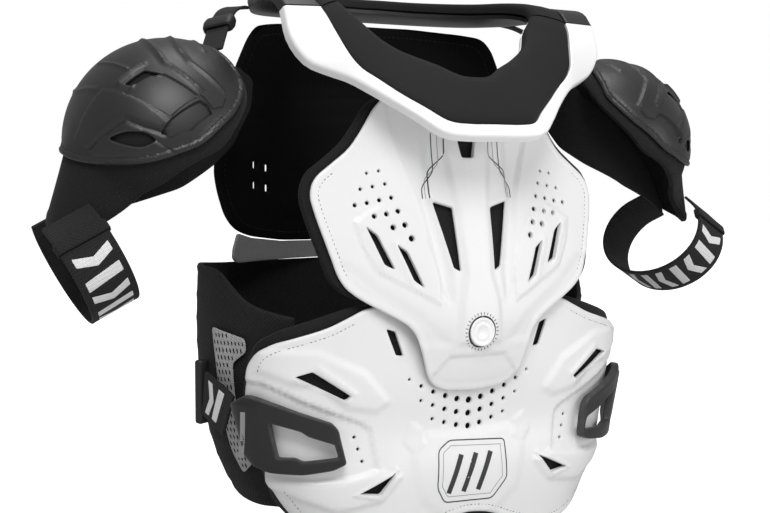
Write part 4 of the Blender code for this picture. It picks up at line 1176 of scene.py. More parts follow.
class Repeats:
    """Geometry node trees for what repeats along a line or over a field."""

    def __init__(self) -> None:
        """Build each tree once."""
        self.row = self.make_row()
        self.marks = self.make_marks()

    @staticmethod
    def make_row() -> bpy.types.NodeTree:
        """Stitches that follow a line."""
        tree = new_group("Stitch Row", "GeometryNodeTree",
                         (("Line", "NodeSocketGeometry", None), ("Spacing", "NodeSocketFloat", 0.0042),
                          ("Length", "NodeSocketFloat", 0.0026), ("Thickness", "NodeSocketFloat", 0.0008),
                          ("Seed", "NodeSocketInt", 3), ("Material", "NodeSocketMaterial", None)),
                         (("Geometry", "NodeSocketGeometry"),))
        inputs = tree.start.outputs
        curve = tree.add("GeometryNodeMeshToCurve", {0: inputs["Line"]})
        even = tree.add("GeometryNodeResampleCurve", {"Curve": curve.outputs[0]})
        even.mode = "LENGTH"
        tree.link(inputs["Spacing"], even.inputs["Length"])
        tangent = tree.add("GeometryNodeInputTangent")
        turn = tree.add("FunctionNodeAlignRotationToVector", {"Vector": tangent.outputs[0]}, axis="Z")
        size = tree.add("ShaderNodeCombineXYZ",
                        {0: inputs["Thickness"], 1: inputs["Thickness"], 2: inputs["Length"]})
        vary = tree.add("FunctionNodeRandomValue", {"Seed": inputs["Seed"]})
        vary.inputs[2].default_value = 0.85
        vary.inputs[3].default_value = 1.1
        scaled = tree.add("ShaderNodeVectorMath", {0: size.outputs[0], "Scale": vary.outputs[1]},
                          operation="SCALE")
        bead = tree.add("GeometryNodeMeshUVSphere", {"Segments": 6, "Rings": 4, "Radius": 0.5})
        placed = tree.add("GeometryNodeInstanceOnPoints",
                          {"Points": even.outputs[0], "Instance": bead.outputs["Mesh"],
                           "Rotation": turn.outputs[0], "Scale": scaled.outputs[0]})
        real = tree.add("GeometryNodeRealizeInstances", {0: placed.outputs[0]})
        dressed = tree.add("GeometryNodeSetMaterial",
                           {"Geometry": real.outputs[0], "Material": inputs["Material"]})
        tree.link(dressed.outputs[0], tree.end.inputs[0])
        return tree.tree

    @staticmethod
    def make_marks() -> bpy.types.NodeTree:
        """Flat marks on points, which read the attributes out and along of each point."""
        tree = new_group("Mark Field", "GeometryNodeTree",
                         (("Points", "NodeSocketGeometry", None), ("Length", "NodeSocketFloat", 0.005),
                          ("Width", "NodeSocketFloat", 0.0016), ("Height", "NodeSocketFloat", 0.0005),
                          ("Seed", "NodeSocketInt", 5), ("Material", "NodeSocketMaterial", None)),
                         (("Geometry", "NodeSocketGeometry"),))
        inputs = tree.start.outputs
        out = tree.add("GeometryNodeInputNamedAttribute", {"Name": "out"}, data_type="FLOAT_VECTOR")
        along = tree.add("GeometryNodeInputNamedAttribute", {"Name": "along"}, data_type="FLOAT_VECTOR")
        first = tree.add("FunctionNodeAlignRotationToVector", {"Vector": out.outputs[0]}, axis="Z")
        turn = tree.add("FunctionNodeAlignRotationToVector",
                        {"Rotation": first.outputs[0],
                         "Vector": along.outputs[0]}, axis="X", pivot_axis="Z")
        size = tree.add("ShaderNodeCombineXYZ",
                        {0: inputs["Length"], 1: inputs["Width"], 2: inputs["Height"]})
        vary = tree.add("FunctionNodeRandomValue", {"Seed": inputs["Seed"]})
        vary.inputs[2].default_value = 0.9
        vary.inputs[3].default_value = 1.1
        scaled = tree.add("ShaderNodeVectorMath", {0: size.outputs[0], "Scale": vary.outputs[1]},
                          operation="SCALE")
        bead = tree.add("GeometryNodeMeshUVSphere", {"Segments": 8, "Rings": 4, "Radius": 0.5})
        placed = tree.add("GeometryNodeInstanceOnPoints",
                          {"Points": inputs["Points"], "Instance": bead.outputs["Mesh"],
                           "Rotation": turn.outputs[0], "Scale": scaled.outputs[0]})
        real = tree.add("GeometryNodeRealizeInstances", {0: placed.outputs[0]})
        dressed = tree.add("GeometryNodeSetMaterial",
                           {"Geometry": real.outputs[0], "Material": inputs["Material"]})
        tree.link(dressed.outputs[0], tree.end.inputs[0])
        return tree.tree

    @staticmethod
    def run(name: str, mesh: bpy.types.Mesh, group: bpy.types.NodeTree, values: dict) -> bpy.types.Object:
        """Run a tree on a mesh and keep its result as a plain mesh.

        Args:
            name: name of the piece.
            mesh: the line or points.
            group: the geometry node tree.
            values: a value for each named input.
        Returns:
            the new object, at the origin.
        """
        thing = bpy.data.objects.new(name, mesh)
        bpy.context.scene.collection.objects.link(thing)
        modifier = thing.modifiers.new("repeat", "NODES")
        modifier.node_group = group
        for item in group.interface.items_tree:
            if item.item_type == "SOCKET" and item.in_out == "INPUT" and item.name in values:
                modifier[item.identifier] = values[item.name]
        graph = bpy.context.evaluated_depsgraph_get()
        graph.update()
        made = bpy.data.meshes.new_from_object(thing.evaluated_get(graph), depsgraph=graph)
        thing.modifiers.remove(modifier)
        thing.data = made
        made.name = name
        made.polygons.foreach_set("use_smooth", np.ones(len(made.polygons), dtype=bool))
        if not made.uv_layers:
            made.uv_layers.new(name="flat")
        for layer in made.uv_layers:
            layer.name = "flat"
            break
        return thing

    def stitches(self, name: str, lines: Sequence[np.ndarray], material: bpy.types.Material,
                 side: Side = Side.LEFT, spacing: float = 4.2, length: float = 2.6,
                 thickness: float = 0.8) -> bpy.types.Object:
        """Sew rows of stitches along lines of points in millimetres."""
        points = []
        edges = []
        for line in lines:
            first = len(points)
            points.extend(line * (side.value, 1.0, 1.0) * MM)
            edges.extend((first + index, first + index + 1) for index in range(len(line) - 1))
        mesh = bpy.data.meshes.new(name)
        mesh.from_pydata([tuple(point) for point in points], edges, [])
        return self.run(name, mesh, self.row, {"Spacing": spacing * MM, "Length": length * MM,
                                               "Thickness": thickness * MM, "Seed": 3,
                                               "Material": material})

    def field(self, name: str, points: np.ndarray, out: np.ndarray, along: np.ndarray,
              material: bpy.types.Material, size: tuple, side: Side = Side.LEFT) -> bpy.types.Object:
        """Lay flat marks of a length, width and height on points in millimetres."""
        flip = np.array((side.value, 1.0, 1.0))
        mesh = bpy.data.meshes.new(name)
        mesh.from_pydata([tuple(point) for point in points * flip * MM], [], [])
        for label, rows in (("out", out), ("along", along)):
            layer = mesh.attributes.new(label, "FLOAT_VECTOR", "POINT")
            layer.data.foreach_set("vector", (rows * flip).ravel())
        length, width, height = (value * MM for value in size)
        return self.run(name, mesh, self.marks, {"Length": length, "Width": width, "Height": height,
                                                 "Seed": 5, "Material": material})


@dataclass
class Workshop:
    """What every sub-assembly is made with, and the pieces made so far."""

    finish: Finishes
    repeats: Repeats
    made: list = field(default_factory=list)

    def keep(self, thing: bpy.types.Object, slot: str, replaces: Sequence[str] = (),
             fill: Optional[float] = None) -> bpy.types.Object:
        """Hand a finished piece over.

        Args:
            thing: the finished object.
            slot: the record's material slot for the piece; not used.
            replaces: the nodes that it stands for.
            fill: how full the piece is, where it is padded; not used.
        Returns:
            the same object.
        """
        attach(thing, "root")
        for node in replaces:
            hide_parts(node)
        self.made.append(thing)
        LOG.info("%s: %d faces", thing.name, len(thing.data.polygons))
        return thing


def ribbon(sheet: Sheet, line: np.ndarray, width: float, lift: float = 0.16) -> tuple:
    """Points and faces of a flat line laid over a sheet."""
    along = np.gradient(line, axis=0)
    across = unit_rows(np.stack((-along[:, 1], along[:, 0]), axis=1)) * width / 2.0
    points = sheet.on(np.concatenate((line + across, line - across)), lift)
    count = len(line)
    faces = [(index, count + index, count + index + 1, index + 1) for index in range(count - 1)]
    return points, faces, np.concatenate((line + across, line - across))


def printed(name: str, sheet: Sheet, lines: Sequence[np.ndarray], width: float,
            material: bpy.types.Material, side: Side = Side.LEFT, lift: float = 0.16) -> bpy.types.Object:
    """Lay flat lines on a sheet as one object: prints, and the painted highlight strip on each waist clasp.
    """
    points, faces, flats = [], [], []
    first = 0
    for line in lines:
        made, quads, flat = ribbon(sheet, line, width, lift)
        points.append(made)
        flats.append(flat)
        for quad in quads:
            corners = made[list(quad[:3])]
            face_normal = np.cross(corners[1] - corners[0], corners[2] - corners[0])
            outward = float(face_normal @ sheet.surface.normal(flat[[quad[0]]])[0]) > 0.0
            ring = quad if outward else quad[::-1]
            faces.append(tuple(first + corner for corner in ring))
        first += len(made)
    return make_mesh(name, np.concatenate(points), faces, material, np.concatenate(flats), None, side)


def offset_line(ring: np.ndarray, inset: float) -> np.ndarray:
    """Move a closed counterclockwise ring inwards."""
    ring = ring if signed_area(ring) > 0.0 else ring[::-1]
    along = unit_rows(np.roll(ring, -1, axis=0) - np.roll(ring, 1, axis=0))
    inner = ring + np.stack((-along[:, 1], along[:, 0]), axis=1) * inset
    good = line_distance(ring, inner) > inset * 0.9
    return inner[good]


def stretch(line: np.ndarray, keep: Callable[[np.ndarray], np.ndarray]) -> list:
    """Cut a closed line into the stretches whose points are kept."""
    good = keep(line)
    if good.all():
        return [line]
    start = int(np.argmin(good))
    line, good = np.roll(line, -start, axis=0), np.roll(good, -start)
    lines, run = [], []
    for point, kept in zip(line, good):
        if kept:
            run.append(point)
        elif run:
            lines.append(np.array(run))
            run = []
    if run:
        lines.append(np.array(run))
    return [part for part in lines if len(part) > 3]


def both(rings: Sequence[np.ndarray]) -> list:
    """Add the mirror image of each ring."""
    return list(rings) + [ring[::-1] * (-1.0, 1.0) for ring in rings]


CHEST_SURFACE = PlateSurface(profile=CHEST_PROFILE, half_width=152.5, wrap=20.5, power=1.45)
BELLY_SURFACE = PlateSurface(profile=BELLY_PROFILE, widths=WAIST_WIDTH, wrap=100.0, power=3.4)
BACK_SURFACE = BackSurface()
BELT_SURFACE = BeltSurface(plan=BELT_PLAN, widths=WAIST_WIDTH)
SHOULDER_SURFACE = ShoulderSurface()


@dataclass
class ChestUnit:
    """Chest plate with its liner, stitches, print and pivot."""

    shop: Workshop
    plate_wall: float = 2.6
    liner_lift: float = -5.4
    liner_wall: float = 9.0
    stitch_inset: float = 7.0
    pivot_height: float = -290.0
    pivot_radius: float = 13.0

    def plate(self) -> Sheet:
        """Lay out the chest plate with its relief."""
        holes = both([rounded(slot, 1.8, 2.0) for slot in CHEST_SLOTS])
        holes += both([circle(*row, sides=10) for row in CHEST_HOLES])
        holes.append(rounded(NECK_NOTCH, 2.0, 2.0))
        return Sheet(rounded(mirrored(CHEST_OUTLINE), 9.0, 2.6), CHEST_SURFACE, self.plate_wall,
                     holes=holes, spacing=2.9, edge_round=1.5, relief=CHEST_RELIEF, lip=0.35, lip_place=3.0,
                     groove_place=self.stitch_inset, groove=0.35)

    def build(self) -> None:
        """Build the whole unit."""
        finish = self.shop.finish
        plate = self.plate()
        self.shop.keep(plate.build("chest_plate_skin", finish.white), "white_plastic", ["chest_plate"])
        line = offset_line(plate.outline, self.stitch_inset)
        kept = stretch(line,
                       lambda at: (np.abs(at[:, 0]) > 118.0) & (at[:, 1] < -147.0) & (at[:, 1] > -240.0))
        rows = [plate.on(part, 0.05) for part in kept]
        self.shop.keep(self.shop.repeats.stitches("chest_plate_stitches", rows, finish.thread, spacing=4.0,
                                                  length=2.4, thickness=0.75), "black_fabric")
        liner = Sheet(rounded(mirrored(CHEST_PAD_OUTLINE), 12.0, 3.4), CHEST_SURFACE, self.liner_wall,
                      lift=self.liner_lift, spacing=5.0, edge_round=4.0, crown=0.8)
        self.shop.keep(liner.build("chest_liner", finish.liner), "black_fabric", ["chest_pad"], 0.8)
        self.print_lines(plate)
        self.pivot(plate)

    def print_lines(self, plate: Sheet) -> None:
        """Print plain nested lines beside the neck notch."""
        finish = self.shop.finish
        dark, pale = [], []
        for step, (x, group) in enumerate(((24.0, dark), (30.0, pale), (36.0, dark))):
            corner = -132.0 - 7.0 * step
            line = ((x, -112.0), (x, corner), (x + 18.0 - 3.0 * step, corner - 14.0),
                    (x + 18.0 - 3.0 * step, -170.0))
            group.extend(both([rounded(line, 4.0, 1.6, closed=False)]))
        self.shop.keep(printed("chest_print_dark", plate, dark, 1.0, finish.ink), "black_plastic")
        self.shop.keep(printed("chest_print_grey", plate, pale, 0.7, finish.pale_ink), "grey_panel")

    def pivot(self, plate: Sheet) -> None:
        """Turn the pivot cap with its dished face and the ring of ticks around it."""
        front = float(plate.on(np.array([(0.0, self.pivot_height)]))[0, 1])
        radius = self.pivot_radius
        rings = ((4.6, 9.0), (4.6, 0.3), (radius, 0.3), (radius + 0.2, -0.4), (radius, -1.2),
                 (radius - 0.8, -1.5),
                 (radius - 2.2, -1.5), (radius - 2.8, -1.0), (radius - 5.0, -0.8), (radius - 5.6, -1.2),
                 (radius - 7.0, -1.2), (radius - 7.6, -0.7), (0.4, -0.6))
        sections = []
        for reach, depth in rings:
            ring = circle(0.0, self.pivot_height, 2.0 * reach, 48)
            sections.append(np.stack((ring[:, 0], np.full(48, front + depth), ring[:, 1]), axis=1))
        cap = loft("pivot_badge", np.array(sections), self.shop.finish.rail, sharp=math.radians(60.0))
        self.shop.keep(cap, "white_plastic", ["pivot_cap"])
        turn = np.radians(np.arange(0.0, 360.0, 12.0))
        away = np.stack((np.cos(turn), np.sin(turn)), axis=1)
        flat = away * (radius + 3.6) + (0.0, self.pivot_height)
        along = np.stack((away[:, 0], np.zeros(len(turn)), away[:, 1]), axis=1)
        ticks = self.shop.repeats.field("pivot_ticks", plate.on(flat, 0.1), plate.surface.normal(flat),
                                        along,
                                        self.shop.finish.ink, (2.6, 0.8, 0.3))
        self.shop.keep(ticks, "black_plastic")
        ring = rounded(circle(0.0, self.pivot_height, 2.0 * radius + 1.6, 48), 1.0, 1.5)
        ring = np.vstack((ring, ring[:1]))
        self.shop.keep(printed("pivot_ring", plate, [ring], 1.7, self.shop.finish.ink), "black_plastic")


@dataclass
class BellyUnit:
    """Belly plate with its liner, stitches and print."""

    shop: Workshop
    plate_wall: float = 2.6
    liner_lift: float = -4.9
    liner_wall: float = 9.0
    stitch_inset: float = 7.0

    def plate(self) -> Sheet:
        """Lay out the belly plate with its relief."""
        holes = both([rounded(slot, 1.8, 2.0) for slot in BELLY_SLOTS])
        holes += both([circle(*row, sides=10) for row in BELLY_HOLES])
        holes += [circle(*row, sides=12) for row in BELLY_CENTRE_HOLES]
        return Sheet(rounded(mirrored(BELLY_OUTLINE), 10.0, 2.8), BELLY_SURFACE, self.plate_wall,
                     holes=holes, spacing=3.1, edge_round=1.5, relief=BELLY_RELIEF, lip=0.5, lip_place=3.0,
                     groove_place=self.stitch_inset, groove=0.35)

    def build(self) -> None:
        """Build the whole unit."""
        finish = self.shop.finish
        plate = self.plate()
        self.shop.keep(plate.build("belly_plate_skin", finish.white), "white_plastic", ["belly_plate"])
        line = offset_line(plate.outline, self.stitch_inset)
        top = stretch(line, lambda at: (np.abs(at[:, 0]) > 118.0) & (at[:, 1] > -318.0))
        foot = stretch(line, lambda at: at[:, 1] < -425.0)
        rows = [plate.on(part, 0.05) for part in top + foot]
        self.shop.keep(self.shop.repeats.stitches("belly_plate_stitches", rows, finish.thread, spacing=4.0,
                                                  length=2.4, thickness=0.75), "black_fabric")
        liner = Sheet(rounded(mirrored(BELLY_PAD_OUTLINE), 12.0, 3.4), BELLY_SURFACE, self.liner_wall,
                      lift=self.liner_lift, spacing=5.0, edge_round=4.0, crown=0.6)
        self.shop.keep(liner.build("belly_liner", finish.liner), "black_fabric", ["belly_pad"], 0.8)
        self.print_emblem(plate)

    def print_emblem(self, plate: Sheet) -> None:
        """Print a plain geometric emblem: a six-sided frame with three slanted bars."""
        finish = self.shop.finish
        frame_ring = ((-34.0, -398.0), (-22.0, -390.0), (38.0, -394.0), (40.0, -430.0), (24.0, -448.0),
                      (-28.0, -446.0), (-36.0, -432.0))
        ring = rounded(frame_ring, 4.0, 1.6)
        outer = np.vstack((ring, ring[:1]))
        inner_ring = rounded(offset_line(straight(frame_ring, 4.0), 5.0), 3.0, 1.6)
        inner = np.vstack((inner_ring, inner_ring[:1]))
        bars = [straight(((x, -438.0), (x + 14.0, -404.0)), 2.0, closed=False) for x in (-24.0, -8.0, 8.0)]
        self.shop.keep(printed("belly_print_frame", plate, [outer], 1.1, finish.ink), "black_plastic")
        self.shop.keep(printed("belly_print_inner", plate, [inner], 0.6, finish.pale_ink), "grey_panel")
        self.shop.keep(printed("belly_print_bars", plate, bars, 5.2, finish.ink), "black_plastic")


@dataclass
class CollarUnit:
    """Front and rear half of the collar: a foam pad in a hard rail."""

    shop: Workshop
    pad_depth: float = 9.0
    seat: float = 11.3
    wall: float = 3.4
    rim_depth: float = 9.0
    crown: float = 2.2

    @staticmethod
    def rows(half: Sequence[Sequence[float]], step: float = 3.5) -> np.ndarray:
        """Mirror the rows of one half and run a smooth curve through them."""
        half = np.array(half, dtype=float)
        if abs(half[0, 0]) > 1e-6:
            half = half[::-1]
        flip = np.array((-1.0, 1.0, 1.0) * 3)
        return spline(np.concatenate((half[:0:-1] * flip, half)), step * 3.0)

    def sections(self, half: Sequence[Sequence[float]]) -> tuple:
        """Work out the rings of the pad and of the rail."""
        rows = self.rows(half)
        inner, edge, rim = rows[:, 0:3], rows[:, 3:6], rows[:, 6:9]
        run = unit_rows(np.gradient(inner + rim, axis=0))
        across = unit_rows(edge - inner)
        up = unit_rows(np.cross(run, unit_rows(rim - inner)))
        up *= np.where(up[:, 2:3] < 0.0, -1.0, 1.0)
        width = np.linalg.norm(edge - inner, axis=1) - 0.7
        # Share of the width, more across, rise
        ring = ((0.0, 0.2, -4.0), (0.0, 0.3, -1.6), (0.0, 1.6, 0.2), (0.12, 2.0, self.crown * 0.7),
                (0.35, 0.0, self.crown), (0.65, 0.0, self.crown), (0.86, 0.0, self.crown * 0.7),
                (1.0, -2.0, 0.7), (1.0, -0.5, -0.6), (1.0, 0.0, -2.4), (1.0, -0.4, -self.pad_depth),
                (0.0, 1.0, -self.pad_depth))
        pad = np.stack([inner + across * (width * share + more)[:, None] + up * rise
                        for share, more, rise in ring], axis=1)
        outward = unit_rows(rim - edge)
        reach = np.linalg.norm(rim - edge, axis=1)
        lip = ((0.0, 0.2, -3.0), (0.0, 0.3, 0.2), (0.0, 1.2, 1.1), (0.0, 2.6, 1.2), (1.0, -2.6, 0.9),
               (1.0, -1.0, 0.4), (1.0, -0.1, -0.8), (1.0, 0.0, -2.4), (1.0, -0.6, -self.rim_depth))
        rail = [edge + outward * (reach * share + more)[:, None] + up * rise for share, more, rise in lip]
        floor = self.seat + self.wall
        rail += [edge - up * floor, inner - up * floor + across * 2.0, inner - up * self.seat + across,
                 edge - up * self.seat]
        return pad, np.stack(rail, axis=1)

    def build(self) -> None:
        """Build both halves, each a pad in its rail."""
        finish = self.shop.finish
        sharp = math.radians(50.0)
        pad, rail = self.sections(COLLAR_FRONT)
        self.shop.keep(loft("collar_front_cushion", pad, finish.foam, sharp=sharp), "collar_foam",
                       ["collar_front_pad"], 0.9)
        self.shop.keep(loft("collar_front_rail", rail, finish.rail, sharp=sharp), "white_plastic",
                       ["collar_front_frame"])
        pad, rail = self.sections(COLLAR_REAR)
        self.shop.keep(loft("collar_rear_cushion", pad, finish.liner, sharp=sharp), "black_plastic",
                       ["collar_rear_pad"], 0.9)
        self.shop.keep(loft("collar_rear_rail", rail, finish.shell_rail, sharp=sharp), "black_plastic",
                       ["collar_rear_frame"])


@dataclass
class BackUnit:
    """Back plate with its cut vents, and the stretch panel below it."""

    shop: Workshop
    wall: float = 7.0
    panel_wall: float = 3.0

    def build(self) -> None:
        """Build the plate, its seam and the panel."""
        finish = self.shop.finish
        half = 3.6
        vents = [rounded([(x - half, z - half), (x + half, z - half), (x + half, z + half),
                          (x - half, z + half)],
                         2.0, 1.5) for x, z in BACK_VENTS]
        plate = Sheet(rounded(mirrored(BACK_OUTLINE), 10.0, 3.4), BACK_SURFACE, self.wall,
                      holes=both(vents),
                      spacing=5.0, edge_round=3.0, relief=BACK_RELIEF)
        self.shop.keep(plate.build("back_plate_cover", finish.back), "black_fabric", ["back_plate"], 0.9)
        line = offset_line(plate.outline, 8.0)
        seam = self.shop.repeats.stitches("back_plate_seam", [plate.on(np.vstack((line, line[:1])), 0.05)],
                                          finish.black_thread, spacing=5.0, length=3.0)
        self.shop.keep(seam, "black_fabric")
        # Its grey cloth is painted lighter to make up for the shade the panel sits in.
        panel = Sheet(rounded(mirrored(BACK_PANEL_OUTLINE), 3.0, 3.0), BACK_SURFACE, self.panel_wall,
                      lift=-2.0, spacing=4.0, edge_round=1.2)
        self.shop.keep(panel.build("back_stretch_panel", finish.panel), "grey_panel", ["back_panel"])


@dataclass
class WaistBelt:
    """Waist belt with its side panels of open mesh."""

    shop: Workshop
    wall: float = 4.0
    end: float = 362.0
    mesh_wall: float = 1.2
    mesh_lift: float = 3.6
    slit: tuple = (4.6, 1.5, 0.5)

    def build(self) -> None:
        """Build the belt, its seams and the mesh panels with their slits."""
        finish = self.shop.finish
        runs = np.arange(-self.end, self.end + 1.0, 4.0)
        upper = np.stack((runs, smooth_rows(BELT_EDGES, np.abs(runs), 1)), axis=1)
        lower = np.stack((runs, smooth_rows(BELT_EDGES, np.abs(runs), 2)), axis=1)
        outline = rounded(np.concatenate((lower, upper[::-1])), 3.0, 4.0)
        ribs = tuple(Ridge(((-1.0, z), (300.0, z)), 0.5, 3.0) for z in np.arange(-262.0, -440.0, -22.0))
        belt = Sheet(outline, BELT_SURFACE, self.wall, spacing=6.0, edge_round=1.8, relief=ribs,
                     lip=0.8, lip_place=4.0, groove_place=8.0)
        self.shop.keep(belt.build("waist_belt", finish.elastic), "black_fabric", ["kidney_belt"], 0.7)
        line = offset_line(belt.outline, 8.0)
        seam = self.shop.repeats.stitches("waist_belt_seam", [belt.on(np.vstack((line, line[:1])), 0.05)],
                                          finish.black_thread, spacing=5.0, length=3.2)
        self.shop.keep(seam, "black_fabric")
        for side in Side:
            self.side_mesh(side)

    def side_mesh(self, side: Side) -> None:
        """Build one mesh panel and its field of slits."""
        finish = self.shop.finish
        mesh = Sheet(rounded(SIDE_MESH_OUTLINE, 4.0, 2.0), BELT_SURFACE, self.mesh_wall,
                     lift=self.mesh_lift,
                     spacing=2.6, edge_round=0.6)
        node = "side_mesh_" + side.label
        self.shop.keep(mesh.build("side_spacer_" + side.label, finish.mesh, side), "grey_mesh", [node])
        low, high = mesh.outline.min(axis=0), mesh.outline.max(axis=0)
        spots = [(x + (row % 2) * 1.9, z) for row, z in enumerate(np.arange(low[1], high[1], 6.6))
                 for x in np.arange(low[0], high[0], 3.8)]
        spots = np.array(spots)
        spots = spots[inside(mesh.outline, spots) & (line_distance(mesh.outline, spots) > 1.8)]
        along = np.tile((0.0, 0.25, 1.0), (len(spots), 1))
        slits = self.shop.repeats.field("side_slits_" + side.label, mesh.on(spots, 0.05),
                                        mesh.surface.normal(spots), along, finish.back, self.slit, side)
        self.shop.keep(slits, "black_fabric")


@dataclass(frozen=True)
class BandSurface(Surface):
    """Middle skin of a strap, by the run along its path and the distance across."""

    path: tuple
    axis: tuple
    turn: float = 1.0

    def frames(self) -> tuple:
        """Give the run, the points, the across and the normal directions along the path."""
        points = spline(self.path, 2.0)
        run = unit_rows(np.gradient(points, axis=0))
        axis = unit_rows(np.array(self.axis))
        across = unit_rows(axis - run * (run @ axis)[:, None])
        length = run_length(points)
        return length, points, across, np.cross(run, across)

    @property
    def length(self) -> float:
        """Length of the strap."""
        return float(self.frames()[0][-1])

    def place(self, flat: np.ndarray) -> np.ndarray:
        """Give the point for each run and distance across."""
        flat = np.asarray(flat, dtype=float)
        length, points, across, _ = self.frames()
        at = np.stack([np.interp(flat[:, 0], length, points[:, axis]) for axis in range(3)], axis=1)
        wide = np.stack([np.interp(flat[:, 0], length, across[:, axis]) for axis in range(3)], axis=1)
        return at + unit_rows(wide) * flat[:, 1:2]

    def normal(self, flat: np.ndarray) -> np.ndarray:
        """Give the unit normal for each run and distance across."""
        length, _, _, normal = self.frames()
        flat = np.asarray(flat, dtype=float)
        given = np.stack([np.interp(flat[:, 0], length, normal[:, axis]) for axis in range(3)], axis=1)
        return unit_rows(given) * self.turn


@dataclass
class Strap:
    """Flat webbing along a path, with a printed band of plain slanted blocks."""

    shop: Workshop
    name: str
    surface: BandSurface
    width: float
    wall: float

    def sheet(self) -> Sheet:
        """Lay out the webbing."""
        half = self.width / 2.0
        length = self.surface.length
        ring = ((0.0, -half), (length, -half), (length, half), (0.0, half))
        return Sheet(rounded(ring, 1.5, 2.4), self.surface, self.wall, lift=self.wall / 2.0, spacing=2.8,
                     edge_round=0.7, lip=0.25, lip_place=1.8)

    def build(self, material: bpy.types.Material, nodes: Sequence[str], side: Side) -> Sheet:
        """Build the webbing and give its sheet."""
        sheet = self.sheet()
        thing = sheet.build(self.name + "_" + side.label, material, side)
        self.shop.keep(thing, "webbing", nodes)
        return sheet

    def blocks(self, sheet: Sheet, start: float, end: float, side: Side, pitch: float = 17.0) -> None:
        """Print slanted blocks and chevrons between two places along the run."""
        half = self.width * 0.37
        parts = []
        for count, at in enumerate(np.arange(start, end - pitch * 0.8, pitch)):
            if count % 2:
                ring = ((at, -half), (at + 9.0, -half), (at + 13.0, half), (at + 4.0, half))
            else:
                ring = ((at, -half), (at + 8.0, -half), (at + 14.0, 0.0), (at + 8.0, half), (at, half),
                        (at + 6.0, 0.0))
            outline = rounded(ring, 0.8, 1.5)
            block = Sheet(outline, self.surface, 0.3, lift=self.wall / 2.0 + 0.12, spacing=2.4,
                          edge_round=0.1)
            parts.append(block.build("block", self.shop.finish.print, side))
        if parts:
            self.shop.keep(join(self.name + "_print_" + side.label, parts), "grey_mesh")


def frame_loop(name: str, place: tuple, size: tuple, material: bpy.types.Material, side: Side,
               swell: float = 0.0) -> bpy.types.Object:
    """Make a closed loop round a strap.

    Args:
        name: name of the piece.
        place: middle, run, across and normal.
        size: inner width, inner height, length along the strap and wall.
        material: the loop's material.
        side: the side to build on.
        swell: how far the middle of each long side bulges.
    Returns:
        the new object.
    """
    middle, run, across, normal = place
    width, height, length, wall = size
    ring = rounded(((width / 2, height / 2), (-width / 2, height / 2), (-width / 2, -height / 2),
                    (width / 2, -height / 2)), min(height, 3.0) * 0.5, 2.0)
    along = unit_rows(np.roll(ring, -1, axis=0) - np.roll(ring, 1, axis=0))
    outward = np.stack((along[:, 1], -along[:, 0]), axis=1)
    profile = ((0.0, -0.5), (0.0, 0.5), (0.3, 0.52), (0.8, 0.46), (1.0, 0.34), (1.0 + swell, 0.0),
               (1.0, -0.34),
               (0.8, -0.46), (0.3, -0.52))
    sections = []
    for point, out in zip(ring, outward):
        row = []
        for share, end in profile:
            flat = point + out * wall * share
            row.append(middle + across * flat[0] + normal * flat[1] + run * end * length)
        sections.append(row)
    return loft(name, np.array(sections), material, side, closed=True)


@dataclass
class WaistFastening:
    """Webbing, upright bar and buckle on one side of the waist."""

    shop: Workshop
    side: Side
    buckle_lift: float = 10.0
    buckle_wall: float = 8.0
    bar_radius: float = 4.6
    bar_half: float = 30.0
    bar_place: tuple = (213.5, 6.4, -347.0)

    def build(self) -> None:
        """Build the three parts."""
        finish, side = self.shop.finish, self.side
        surface = BandSurface(path=WAIST_STRAP_PATH, axis=(0.0, 0.0, 1.0), turn=-1.0)
        strap = Strap(self.shop, "waist_webbing", surface, 42.0, 2.4)
        sheet = strap.build(finish.webbing, ["waist_strap_" + side.label], side)
        strap.blocks(sheet, 8.0, surface.length - 2.0, side, 15.0)
        self.bar()
        buckle = Sheet(rounded(BUCKLE_OUTLINE, 3.0, 2.0), BELLY_SURFACE, self.buckle_wall,
                       lift=self.buckle_lift,
                       holes=[rounded(BUCKLE_WINDOW, 2.0, 2.0)], spacing=3.0, edge_round=2.2,
                       relief=BUCKLE_RELIEF)
        self.shop.keep(buckle.build("waist_clasp_" + side.label, finish.buckle, side), "black_plastic",
                       ["waist_buckle_" + side.label])
        # A pale strip painted along the raised bar of the clasp: a painted highlight, laid like a print in
        # the grey ink.
        highlight_line = straight(((197.5, -352.0), (193.5, -394.0)), 2.0, closed=False)
        self.shop.keep(printed("waist_clasp_strip_" + side.label, buckle, [highlight_line], 2.0, finish.pale_ink,
                               side),
                       "grey_panel")

    def bar(self) -> None:
        """Build the upright bar with its rounded ends."""
        x, y, z = self.bar_place
        heights = np.linspace(-1.0, 1.0, 41)
        taper = np.sqrt(np.clip(1.0 - np.clip((np.abs(heights) - 0.9) / 0.1, 0.0, 1.0) ** 2, 0.02, 1.0))
        sections = []
        for share, height in zip(taper, heights):
            ring = circle(0.0, 0.0, 2.0 * self.bar_radius * share, 20)
            ring[:, 0] -= np.where(ring[:, 0] < -1.0, 3.6 * share, 0.0)
            sections.append(np.stack((x + ring[:, 0], y + ring[:, 1],
                                      np.full(20, z + height * self.bar_half)), axis=1))
        thing = loft("waist_rod_" + self.side.label, np.array(sections), self.shop.finish.black, self.side)
        self.shop.keep(thing, "black_plastic", ["waist_bar_" + self.side.label])


def polar(rows: Sequence[Sequence[float]], step: float = 3.0, more: float = 0.0) -> np.ndarray:
    """Turn rows of turn and distance into a smooth closed outline."""
    turns = np.radians([row[0] for row in rows])
    reach = np.array([row[1] + more for row in rows])
    corners = np.stack((reach * np.cos(turns), -reach * np.sin(turns)), axis=1)
    return spline(corners, step, closed=True)


